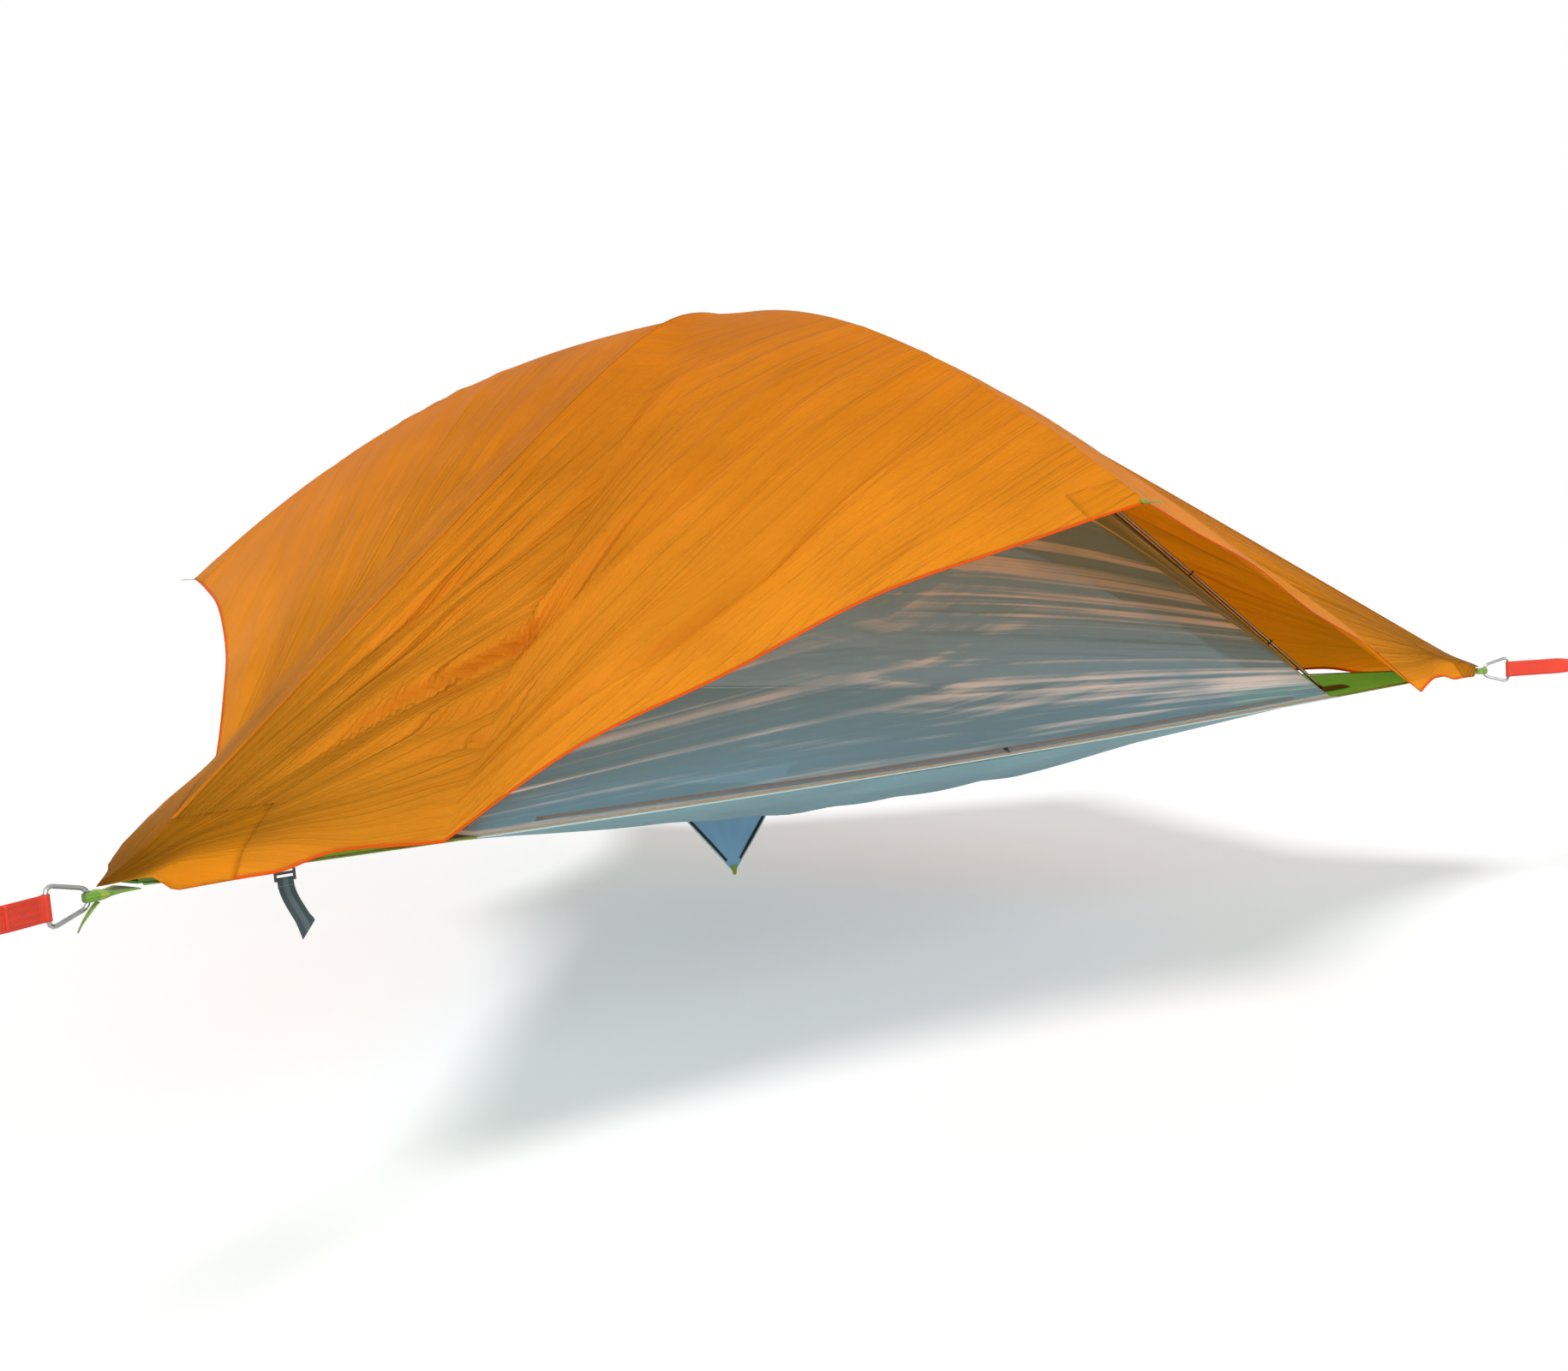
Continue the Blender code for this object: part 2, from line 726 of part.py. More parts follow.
def make_hub(look):
    """The hub over the middle, with a socket for each pole arm."""
    body = prism_mesh("hub", circle(HUB_RADIUS), -HUB_HEIGHT / 2, HUB_HEIGHT / 2, 2)
    sockets = []
    bores = []
    for bearing in ANCHOR_BEARINGS:
        turn = Matrix.Rotation(math.radians(bearing), 4, "Z")
        socket = prism_mesh("socket", circle(SOCKET_RADIUS, SMALL_SIDES), 0, SOCKET_REACH, 0)
        hole = circle(POLE_RADIUS + POLE_FIT, SMALL_SIDES)
        bore = prism_mesh("bore", hole, SOCKET_FLOOR, SOCKET_REACH + CUT_OVERRUN, 0)
        socket.transform(turn)
        bore.transform(turn)
        sockets.append(socket)
        bores.append(bore)
    mesh = shaped(shaped(body, "UNION", sockets), "DIFFERENCE", bores)
    add_object("pole_hub", mesh, look, location=(0, 0, POLE_TOP))


def rim_inward(anchor):
    """The direction from the straight edge after an anchor towards the middle."""
    middle = (ANCHORS[anchor] + ANCHORS[(anchor + 1) % 3]) / 2
    return -middle / np.linalg.norm(middle)


def wall_foot(bearing, side):
    """The lower end of a mesh wall on a pole arm, a gap to one side of the arm's plane."""
    foot = spot(bearing, WALL_FOOT, pole_height(WALL_FOOT) - WALL_HANG)
    return foot + side * GAP * spot(bearing + 90, 1.0)


def wall_foot_line(anchor):
    """The lower edge of a mesh wall: from one pole arm to the rim, along it, and to the next arm."""
    first = wall_foot(ANCHOR_BEARINGS[anchor], 1)
    last = wall_foot(ANCHOR_BEARINGS[(anchor + 1) % 3], -1)
    inset = rim_inward(anchor) * (WEBBING_WIDTH / 2 + WALL_LIFT)
    near = laid(rim_point(anchor, 1, CORNER_CUT) + inset, WALL_LIFT)
    far = laid(rim_point(anchor, 1, SIDE_LENGTH - CORNER_CUT) + inset, WALL_LIFT)
    corner = range(WALL_CORNER_COLUMNS)
    edge_columns = WALL_COLUMNS - 2 * WALL_CORNER_COLUMNS
    line = [first + (near - first) * j / WALL_CORNER_COLUMNS for j in corner]
    line += [laid(near + (far - near) * j / edge_columns, WALL_LIFT) for j in range(edge_columns + 1)]
    line += [far + (last - far) * (j + 1) / WALL_CORNER_COLUMNS for j in corner]
    return line


def wall_grid(anchor):
    """A mesh wall: it hangs from two pole arms, and is drawn in between them."""
    grid = []
    line = wall_foot_line(anchor)
    top = POLE_TOP - WALL_HANG
    arm_foot = pole_height(WALL_FOOT)
    for i in range(WALL_ROWS + 1):
        share = (1 - i / WALL_ROWS) * (1 - WALL_EYE / WALL_FOOT) + WALL_EYE / WALL_FOOT
        row = []
        for j, foot in enumerate(line):
            lateral = abs(2 * j / WALL_COLUMNS - 1)
            arm = pole_height(WALL_FOOT * share)
            if lateral == 1:
                height = arm - WALL_HANG
            else:
                ridge = (arm - arm_foot) / (POLE_TOP - arm_foot)
                flat = (1 - share) * (1 - WALL_DRAW_IN * share)
                blend = (1 - lateral) ** WALL_TAUTNESS
                height = foot[2] + (top - foot[2]) * (ridge + (flat - ridge) * blend)
            row.append((foot[0] * share, foot[1] * share, height))
        grid.append(row)
    return grid


def make_mesh_walls(look):
    """Three see-through walls of insect netting."""
    for anchor in range(3):
        mesh = sheet_mesh("mesh_wall", wall_grid(anchor), MESH_THICKNESS)
        add_object(f"mesh_wall_{anchor + 1}", mesh, look)


def fly_edge(anchor, side, share):
    """The free edge of the fly, from its corner at a ring (0) round the turn to the raised tip (1).

    Where the turn lies lower than the corner, the edge first clears the webbing and then drops.
    """
    bearing = ANCHOR_BEARINGS[anchor]
    corner = spot(bearing, FLY_CORNER_RADIUS, FLY_CORNER_HEIGHT)
    tip = spot(bearing + side * 60, FLY_TIP_RADIUS, FLY_TIP_HEIGHT)
    distance_share, height_share = FLY_TURN_SHARES[(anchor, side)]
    inward = rim_inward(anchor if side > 0 else (anchor + 2) % 3)
    turn = rim_point(anchor, side, distance_share * SIDE_LENGTH) - inward * FLY_OVERHANG
    turn[2] = height_share * SIDE_LENGTH
    if share < FLY_TURN_SHARE:
        part = share / FLY_TURN_SHARE
        point = corner + (turn - corner) * part
        power = FLY_DRAPE_POWER if turn[2] < corner[2] else 1
        point[2] = corner[2] + (turn[2] - corner[2]) * part**power
        return point
    part = (share - FLY_TURN_SHARE) / (1 - FLY_TURN_SHARE)
    bow = 4 * part * (1 - part)
    point = turn + (tip - turn) * part + inward * FLY_EDGE_HOLLOW * bow
    point[2] += FLY_EDGE_RISE * bow
    return point


def fly_height(edge_height, share, lateral, power):
    """Height of the fly at a share of the way from the peak to its edge."""
    seam = crown(share, FLY_BEND / FLY_CORNER_RADIUS)
    tip = 1 - share**power
    blend = (lateral**2 * (3 - 2 * lateral)) ** FLY_BLEND
    return edge_height + (FLY_PEAK - edge_height) * (seam + (tip - seam) * blend)


def fly_laterals():
    """Columns of half a fly panel: some along the turn beside the ring, the rest to the tip."""
    turn = [FLY_TURN_SHARE * j / FLY_TURN_COLUMNS for j in range(FLY_TURN_COLUMNS)]
    rest = FLY_COLUMNS - FLY_TURN_COLUMNS
    return turn + [FLY_TURN_SHARE + (1 - FLY_TURN_SHARE) * j / rest for j in range(rest + 1)]


def fly_half(anchor, side):
    """Half a fly panel, from the seam over an anchor to the line of the raised tip."""
    power = FLY_RIDGE_POWERS[anchor if side > 0 else (anchor + 2) % 3]
    grid = []
    for i in range(FLY_ROWS + 1):
        share = FLY_EYE_SHARE + (1 - FLY_EYE_SHARE) * i / FLY_ROWS
        row = []
        for lateral in fly_laterals():
            edge = fly_edge(anchor, side, lateral)
            height = fly_height(edge[2], share, lateral, power)
            wave = math.sin(FLY_FOLDS * math.tau * lateral) * math.sin(math.pi * lateral)
            height += FLY_FOLD * wave * share**2
            point = np.array([edge[0] * share, edge[1] * share, height])
            if lateral == 0:
                point += side * GAP * spot(ANCHOR_BEARINGS[anchor] + 90, 1.0)
            row.append(point)
        grid.append(row)
    return grid


def make_fly(look):
    """Three fly panels, which meet at the seams over the anchors."""
    for anchor in range(3):
        mesh = sheet_mesh("fly_panel", fly_grid(anchor), FLY_THICKNESS)
        add_object(f"fly_panel_{anchor + 1}", mesh, look)


def make_fly_tabs(look):
    """A webbing loop at each raised tip of the fly."""
    outline = [
        (GAP, -TAB_WIDTH / 2),
        (TAB_LENGTH - TAB_WIDTH / 4, -TAB_WIDTH / 2),
        (TAB_LENGTH, -TAB_WIDTH / 4),
        (TAB_LENGTH, TAB_WIDTH / 4),
        (TAB_LENGTH - TAB_WIDTH / 4, TAB_WIDTH / 2),
        (GAP, TAB_WIDTH / 2),
    ]
    slot_end = TAB_LENGTH - TAB_SLOT / 2
    slot_low = (slot_end - TAB_SLOT, -TAB_WIDTH / 4, -CUT_OVERRUN)
    for anchor in range(3):
        body = prism_mesh("fly_tab", outline, -TAB_THICKNESS / 2, TAB_THICKNESS / 2, 2)
        slot = box_mesh("slot", slot_low, (slot_end, TAB_WIDTH / 4, CUT_OVERRUN))
        bearing = ANCHOR_BEARINGS[anchor] + 60
        tab = add_object(f"fly_tab_{anchor + 1}", shaped(body, "DIFFERENCE", [slot]), look)
        tab.location = spot(bearing, FLY_TIP_RADIUS, FLY_TIP_HEIGHT)
        tab.rotation_euler = (0, 0, math.radians(bearing))


def fly_grid(anchor):
    """A whole fly panel, from the seam over an anchor to the seam over the next."""
    first = fly_half(anchor, 1)
    last = fly_half((anchor + 1) % 3, -1)
    return [a + b[-2::-1] for a, b in zip(first, last)]


def make_fly_corner_straps(look):
    """A short strap that holds each corner of the fly down to the corner panel."""
    for anchor, bearing in enumerate(ANCHOR_BEARINGS):
        panels = [fly_grid(anchor), fly_grid((anchor + 2) % 3)]
        surfaces = [BVHTree.FromPolygons(*open_sheet(panel)) for panel in panels]
        back = FLY_CORNER_RADIUS - 2 * TAB_WIDTH
        low = []
        high = []
        for radius in (back, back + TAB_THICKNESS):
            for aside in (-1, 0, 1):
                point = spot(bearing, radius) + spot(bearing + 90, aside * (TAB_WIDTH / 2 + GAP))
                low.append(resting_height(point))
                start = Vector((point[0], point[1], low[-1]))
                rays = [surface.ray_cast(start, Vector((0, 0, 1))) for surface in surfaces]
                high += [ray[0].z for ray in rays if ray[0]]
        bottom = max(low) + GAP
        top = min(high) - FLY_THICKNESS / 2 - GAP
        mesh = box_mesh("strap", (0, -TAB_WIDTH / 2, bottom), (TAB_THICKNESS, TAB_WIDTH / 2, top))
        strap = add_object(f"fly_corner_strap_{anchor + 1}", mesh, look)
        strap.location = spot(bearing, back)
        strap.rotation_euler = (0, 0, math.radians(bearing))


def ring_path():
    """The middle line of a ring's wire: a round apex, two legs and a straight outer bar."""
    apex = 2 * RING_CORNER
    first = np.array([apex, 0.0])
    second = np.array([RING_LENGTH - RING_CORNER, RING_BAR / 2 - RING_CORNER])
    between = second - first
    span = np.linalg.norm(between)
    along = between / span
    lean = (apex - RING_CORNER) / span
    normal = along * lean + np.array([-along[1], along[0]]) * math.sqrt(1 - lean**2)
    slope = math.degrees(math.atan2(normal[1], normal[0]))
    upper = arc(apex, 180, slope, first, 4) + arc(RING_CORNER, slope, 0, second, 3)
    lower = [(x, -z) for x, z in reversed(upper[1:])]
    return [(x, 0.0, z) for x, z in upper + lower]


def ring_mesh(extra=0.0):
    """A steel ring, or the space round it."""
    path = ring_path()
    return tube_mesh("ring", path, [RING_WIRE + extra] * len(path), WIRE_SIDES, closed=True)


def loop_mesh():
    """The sewn corner of the tent: a wide root that gathers into a loop round the ring."""
    apex = RING_APEX - LOOP_ROOT
    end = apex + RING_WIRE + LOOP_THICKNESS
    sections = [
        (LOOP_GAP, LOOP_ROOT_WIDTH / 2, LOOP_THICKNESS / 2),
        (apex * 0.35, LOOP_ROOT_WIDTH / 3, LOOP_THICKNESS * 0.7),
        (apex * 0.7, LOOP_WIDTH * 0.7, LOOP_HEIGHT * 0.35),
        (apex * 0.9, LOOP_WIDTH / 2, LOOP_HEIGHT * 0.42),
        (end, LOOP_WIDTH * 0.42, LOOP_HEIGHT * 0.38),
    ]
    sides = 12
    points = []
    for along, wide, high in sections:
        for u, v in circle(1, sides, start=math.pi / sides):
            flat_u = math.copysign(abs(u) ** 0.6, u)
            flat_v = math.copysign(abs(v) ** 0.6, v)
            points.append((along, wide * flat_u, high * flat_v))
    faces = [tuple(range(sides)), tuple((len(sections) - 1) * sides + s for s in range(sides))]
    for i in range(len(sections) - 1):
        for s in range(sides):
            after = (s + 1) % sides
            faces.append((i * sides + s, i * sides + after, (i + 1) * sides + after, (i + 1) * sides + s))
    body = mesh_of("loop", points, faces)
    space = ring_mesh(GAP)
    space.transform(Matrix.Translation((apex, 0, 0)))
    return shaped(body, "DIFFERENCE", [space])


def strap_eye(centre, bore, facing, wide, thick):
    """The sewn end of a strap round a bar, as points and quads, and the corners where the band leaves.

    On each side lie a circle outside and a circle inside, both open towards the band.
    """
    outer = bore + STRAP_THICKNESS
    mouth = math.asin(STRAP_THICKNESS / 2 / outer)
    sides = SMALL_SIDES
    angles = [mouth + (math.tau - 2 * mouth) * i / (sides - 1) for i in range(sides)]
    points = []
    for side in (1, -1):
        for radius in (outer, bore):
            for angle in angles:
                around = math.cos(angle) * facing + math.sin(angle) * thick
                points.append(centre + side * wide * STRAP_WIDTH / 2 + radius * around)
    faces = []
    for i in range(sides):
        after = (i + 1) % sides
        faces.append((i, after, sides + after, sides + i))
        faces.append((2 * sides + i, 2 * sides + after, 3 * sides + after, 3 * sides + i))
        faces.append((sides + i, sides + after, 3 * sides + after, 3 * sides + i))
        if after:
            faces.append((i, after, 2 * sides + after, 2 * sides + i))
    corners = [0, 2 * sides, 3 * sides - 1, sides - 1]
    return points, faces, corners


def tree_strap_mesh():
    """The strap from the ring's bar, upright there, with a quarter twist to the ratchet's bolt.

    The two wide sides of a twisted stretch are divided along the same corners, so they stay apart.
    """
    along, aside, up = np.eye(3)
    far = along * STRAP_LENGTH
    points, faces, near_corners = strap_eye(0 * along, RING_WIRE + STRAP_FIT, along, up, aside)
    far_points, far_faces, far_corners = strap_eye(far, BOLT_RADIUS + STRAP_FIT, -along, aside, -up)
    near_x = points[near_corners[0]][0]
    run = far_points[far_corners[0]][0] - near_x
    rows = [near_corners]
    for i in range(1, STRAP_STEPS):
        share = i / STRAP_STEPS
        turn = math.pi / 2 * share * share * (3 - 2 * share)
        wide = (math.sin(turn) * aside + math.cos(turn) * up) * STRAP_WIDTH / 2
        thick = (math.cos(turn) * aside - math.sin(turn) * up) * STRAP_THICKNESS / 2
        rows.append([len(points) + k for k in range(4)])
        for a, b in ((1, 1), (-1, 1), (-1, -1), (1, -1)):
            points.append((near_x + run * share) * along + a * wide + b * thick)
    base = len(points)
    rows.append([base + corner for corner in far_corners])
    points += far_points
    faces += [tuple(base + corner for corner in face) for face in far_faces]
    for near, beyond in zip(rows, rows[1:]):
        for k in range(4):
            after = (k + 1) % 4
            if k == 2:
                faces.append((near[k], near[after], beyond[k]))
                faces.append((near[after], beyond[after], beyond[k]))
            else:
                faces.append((near[k], near[after], beyond[after]))
                faces.append((near[k], beyond[after], beyond[k]))
    return mesh_of("strap", points, faces)


def frame_mesh():
    """The ratchet's frame: two side plates, a floor between them and the bolt for the strap."""
    plate_top = FRAME_HEIGHT / 2
    low = -plate_top
    tail = -BOLT_TO_SPOOL - FRAME_NOSE / 2
    shoulder = plate_top * SHOULDER_SHARE
    outline = [(tail, low / 2), (tail + FRAME_NOSE / 2, low), (FRAME_NOSE * 0.6, low)]
    outline += arc(FRAME_NOSE, -35, 90, (0, 0), 7)
    outline = [(x, min(z, plate_top)) for x, z in outline]
    outline += [(-FRAME_NOSE, shoulder), (tail + FRAME_NOSE / 2, shoulder), (tail, shoulder / 2)]
    inner = FRAME_INNER / 2
    outer = inner + PLATE_THICKNESS
    plates = [prism_mesh("plate", outline, side * inner, side * outer, 1) for side in (1, -1)]
    web_low = (tail + FRAME_NOSE, -inner - GAP, low)
    web_high = (-WHEEL_RADIUS - FRAME_NOSE, inner + GAP, low + PLATE_THICKNESS)
    web = box_mesh("web", web_low, web_high)
    head = outer + SIDE_GAP + WHEEL_THICKNESS
    bolt = prism_mesh("bolt", circle(BOLT_RADIUS, SMALL_SIDES), -outer - GAP, outer + GAP, 1)
    hexagon = circle(BOLT_RADIUS * HEAD_SHARE, 6)
    heads = [prism_mesh("head", hexagon, side * outer, side * head, 1) for side in (1, -1)]
    for piece in (bolt, *heads):
        piece.transform(Matrix.Translation((-BOLT_TO_SPOOL, 0, 0)))
    bore = prism_mesh("bore", circle(SPOOL_RADIUS + SPOOL_FIT), -head, head, 1)
    slot_near = -(LOCK_PAWL_INNER - PAWL_FIT)
    slot_far = -(LOCK_PAWL_INNER + PAWL_WIDTH + LOCK_PAWL_TRAVEL + PAWL_FIT)
    half = PAWL_THICKNESS / 2 + PAWL_FIT
    slot = box_mesh("slot", (slot_far, -head, -half), (slot_near, head, half))
    joined = shaped(plates[0], "UNION", [web, plates[1], bolt, *heads])
    return shaped(joined, "DIFFERENCE", [bore, slot])


def wheel_outline():
    """A ratchet wheel: hooked teeth with a steep face and a long hollow back.

    A tooth gap faces the lock pawl. The shares are of the pitch, and of the height of a tooth.
    """
    pitch = math.tau / WHEEL_TEETH
    points = []
    for tooth in range(WHEEL_TEETH):
        for turn_share, height_share in TOOTH_SHARES:
            angle = math.pi + pitch * (tooth + turn_share)
            radius = WHEEL_ROOT + (WHEEL_RADIUS - WHEEL_ROOT) * height_share
            points.append((radius * math.cos(angle), radius * math.sin(angle)))
    return points


def spool_mesh():
    """The slotted spool with a ratchet wheel and an end flange on each side."""
    wheel_near = FRAME_INNER / 2 + PLATE_THICKNESS + SIDE_GAP
    wheel_far = wheel_near + WHEEL_THICKNESS
    flange_near = wheel_far + 2 * SIDE_GAP + PLATE_THICKNESS
    flange_far = flange_near + PLATE_THICKNESS
    core = prism_mesh("core", circle(SPOOL_RADIUS, start=math.pi / ROUND_SIDES), -flange_far, flange_far, 1)
    rims = []
    for side in (1, -1):
        rims.append(prism_mesh("wheel", wheel_outline(), side * wheel_near, side * wheel_far, 1))
        flange = circle(SPOOL_RADIUS * FLANGE_SHARE)
        end = side * (flange_far + SIDE_GAP)
        rims.append(prism_mesh("flange", flange, side * flange_near, end, 1))
    half = FRAME_INNER / 2 - SIDE_GAP
    across = SPOOL_RADIUS + CUT_OVERRUN
    slot = box_mesh("slot", (-across, -half, -SPOOL_SLOT / 2), (across, half, SPOOL_SLOT / 2))
    return shaped(shaped(core, "UNION", rims), "DIFFERENCE", [slot])


def handle_mesh():
    """The handle: two plates that turn on the spool, and a grip bar across their far end."""
    near = FRAME_INNER / 2 + PLATE_THICKNESS + WHEEL_THICKNESS + 2 * SIDE_GAP
    far = near + PLATE_THICKNESS
    reach_round = WHEEL_RADIUS + PLATE_THICKNESS
    grip_x = -HANDLE_LENGTH
    grip_z = HANDLE_HEIGHT
    outline = arc(reach_round, -100, 100, (0, 0), 9)
    outline += [(-reach_round, reach_round * HANDLE_SHOULDER_SHARE), (grip_x, grip_z + GRIP_RADIUS)]
    outline += arc(GRIP_RADIUS, 110, 250, (grip_x, grip_z), 4)[1:]
    outline += [(-2 * reach_round, PLATE_THICKNESS)]
    plates = [prism_mesh("plate", outline, side * near, side * far, 1) for side in (1, -1)]
    grip = prism_mesh("grip", circle(GRIP_RADIUS * GRIP_BAR_SHARE, SMALL_SIDES), -near - GAP, near + GAP, 1)
    grip.transform(Matrix.Translation((grip_x, 0, grip_z)))
    beyond = far + CUT_OVERRUN
    bore = prism_mesh("bore", circle(SPOOL_RADIUS + SPOOL_FIT), -beyond, beyond, 1)
    slot_near = HANDLE_PAWL_INNER - PAWL_FIT
    slot_far = HANDLE_PAWL_INNER + PAWL_WIDTH + HANDLE_PAWL_TRAVEL + PAWL_FIT
    half = PAWL_THICKNESS / 2 + PAWL_FIT
    slot = box_mesh("slot", (slot_near, -beyond, -half), (slot_far, beyond, half))
    slot.transform(Matrix.Rotation(-math.radians(HANDLE_PAWL_ANGLE), 4, "Y"))
    joined = shaped(plates[0], "UNION", [grip, plates[1]])
    return shaped(joined, "DIFFERENCE", [bore, slot])


def pawl_mesh(name, inner, body_half, thumb):
    """A sprung pawl plate along +X: two fingers for the wheels, and perhaps a thumb tab."""
    finger_near = FRAME_INNER / 2 + PLATE_THICKNESS + SIDE_GAP + GAP / 2
    finger_far = finger_near + WHEEL_THICKNESS - GAP
    tip = LOCK_PAWL_REACH
    outer = inner + PAWL_WIDTH
    half = [(inner, 0), (inner, finger_near), (tip, finger_near), (tip, finger_far), (inner, finger_far)]
    if body_half > finger_far + GAP:
        half.append((inner, body_half))
        half.append((outer, body_half))
    else:
        half[-1] = (outer, finger_far)
    if thumb:
        thumb_end = outer + THUMB_LENGTH
        half += [(outer, THUMB_LENGTH), (thumb_end, THUMB_LENGTH * THUMB_SHARE), (thumb_end, 0)]
    else:
        half.append((outer, 0))
    mirrored = [(x, -y) for x, y in reversed(half[1:-1])]
    return prism_mesh(name, half + mirrored, -PAWL_THICKNESS / 2, PAWL_THICKNESS / 2, 2)


def make_hangers(steel, zinc, webbing, strap_look, plastic):
    """At each corner: the sewn loop and its ring, the tree strap and the ratchet."""
    loop = loop_mesh()
    ring = ring_mesh()
    strap = tree_strap_mesh()
    frame = frame_mesh()
    spool = spool_mesh()
    handle = handle_mesh()
    handle_end = FRAME_INNER / 2 + 2 * PLATE_THICKNESS + WHEEL_THICKNESS + 3 * SIDE_GAP
    handle_pawl = pawl_mesh("handle_pawl", HANDLE_PAWL_INNER, handle_end, True)
    lock_pawl = pawl_mesh("lock_pawl", LOCK_PAWL_INNER, 0, False)
    apex = RING_APEX - LOOP_ROOT
    bar = apex + RING_LENGTH
    spool_x = bar + STRAP_LENGTH + BOLT_TO_SPOOL
    for anchor, bearing in enumerate(ANCHOR_BEARINGS):
        number = anchor + 1
        root = add_empty(f"anchor_{number}", spot(bearing, LOOP_ROOT, HANGER_HEIGHT))
        root.rotation_euler = (0, 0, math.radians(bearing))
        add_object(f"corner_loop_{number}", loop, webbing, root)
        add_object(f"ring_{number}", ring, steel, root, (apex, 0, 0))
        add_object(f"tree_strap_{number}", strap, strap_look, root, (bar, 0, 0))
        axis = add_empty(f"spool_axis_{number}", (spool_x, 0, 0), root)
        add_object(f"ratchet_frame_{number}", frame, zinc, axis)
        add_object(f"ratchet_spool_{number}", spool, steel, axis)
        add_object(f"ratchet_handle_{number}", handle, zinc, axis)
        upper = add_object(f"handle_pawl_{number}", handle_pawl, plastic, axis)
        upper.rotation_euler = (0, -math.radians(HANDLE_PAWL_ANGLE), 0)
        lower = add_object(f"lock_pawl_{number}", lock_pawl, steel, axis)
        lower.rotation_euler = (0, 0, math.pi)


def make_loose_tail(look, buckle_look):
    """The ladder buckle under the left corner, and the loose webbing tail that hangs from it."""
    place = rim_point(0, 1, TAIL_FROM_RING)
    top = hammock(place) - WEBBING_THICKNESS / 2 - 2 * GAP
    holder = add_empty("tail_point", (place[0], place[1], top))
    body = box_mesh(
        "buckle",
        (-BUCKLE_WIDTH / 2, -BUCKLE_THICKNESS / 2, -BUCKLE_HEIGHT),
        (BUCKLE_WIDTH / 2, BUCKLE_THICKNESS / 2, 0),
    )
    slot_height = (BUCKLE_HEIGHT - 3 * BUCKLE_BAR) / 2
    slots = []
    for number in range(2):
        high = -BUCKLE_BAR - number * (slot_height + BUCKLE_BAR)
        slots.append(
            box_mesh(
                "slot",
                (-BUCKLE_WIDTH / 2 + BUCKLE_BAR, -BUCKLE_THICKNESS, high - slot_height),
                (BUCKLE_WIDTH / 2 - BUCKLE_BAR, BUCKLE_THICKNESS, high),
            )
        )
    add_object("tail_buckle", shaped(body, "DIFFERENCE", slots), buckle_look, holder)
    steps = 8
    grid = []
    for i in range(steps + 1):
        share = i / steps
        swing = TAIL_SWING * share**2 * (2.2 - 1.2 * share)
        drop = -BUCKLE_HEIGHT - 2 * GAP - (TAIL_LENGTH - BUCKLE_HEIGHT) * share
        lean = math.atan2(TAIL_SWING * share * 2, TAIL_LENGTH)
        across = np.array([math.cos(lean), TAIL_TWIST_SHARE * share, math.sin(lean)]) * TAIL_WIDTH / 2
        centre = np.array([swing, -TAIL_LEAN * share, drop])
        cut = np.array([0, 0, TAIL_WIDTH * TAIL_CUT_SHARE]) * (share == 1)
        grid.append([centre - across - cut, centre + across + cut])
    mesh = sheet_mesh("loose_tail", grid, TAIL_THICKNESS, direction=(0, 1, 0))
    add_object("loose_tail", mesh, look, holder)


def main():
    """Build the whole tent."""
    for old in list(bpy.data.objects):
        bpy.data.objects.remove(old, do_unlink=True)
    amber = material("fly_fabric", (0.78, 0.36, 0.03), 0.6)
    netting = material("netting", (0.48, 0.52, 0.52), 0.8, alpha=0.35)
    teal = material("floor_fabric", (0.24, 0.40, 0.42), 0.6)
    lime = material("lime_fabric", (0.33, 0.62, 0.06), 0.6)
    lime_web = material("lime_webbing", (0.36, 0.55, 0.08), 0.7)
    dark_web = material("dark_webbing", (0.03, 0.05, 0.06), 0.7)
    slate = material("flap_fabric", (0.25, 0.36, 0.45), 0.6)
    red_web = material("red_webbing", (0.90, 0.10, 0.02), 0.6)
    steel = material("steel", (0.62, 0.62, 0.60), 0.25, 1.0)
    zinc = material("zinc_plate", (0.70, 0.66, 0.52), 0.35, 1.0)
    aluminium = material("aluminium", (0.55, 0.57, 0.60), 0.3, 1.0)
    black = material("black_plastic", (0.03, 0.03, 0.03), 0.5)
    make_floor(teal)
    make_corner_panels(lime)
    make_pole_patches(dark_web)
    make_edge_webbings(lime_web)
    make_hatch_flap(slate, lime_web)
    make_hatch_sliders(black)
    make_pole_arms(aluminium)
    make_hub(black)
    make_mesh_walls(netting)
    make_fly(amber)
    make_fly_tabs(lime_web)
    make_fly_corner_straps(dark_web)
    make_hangers(steel, zinc, lime_web, red_web, black)
    make_loose_tail(dark_web, black)


main()
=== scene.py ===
import math

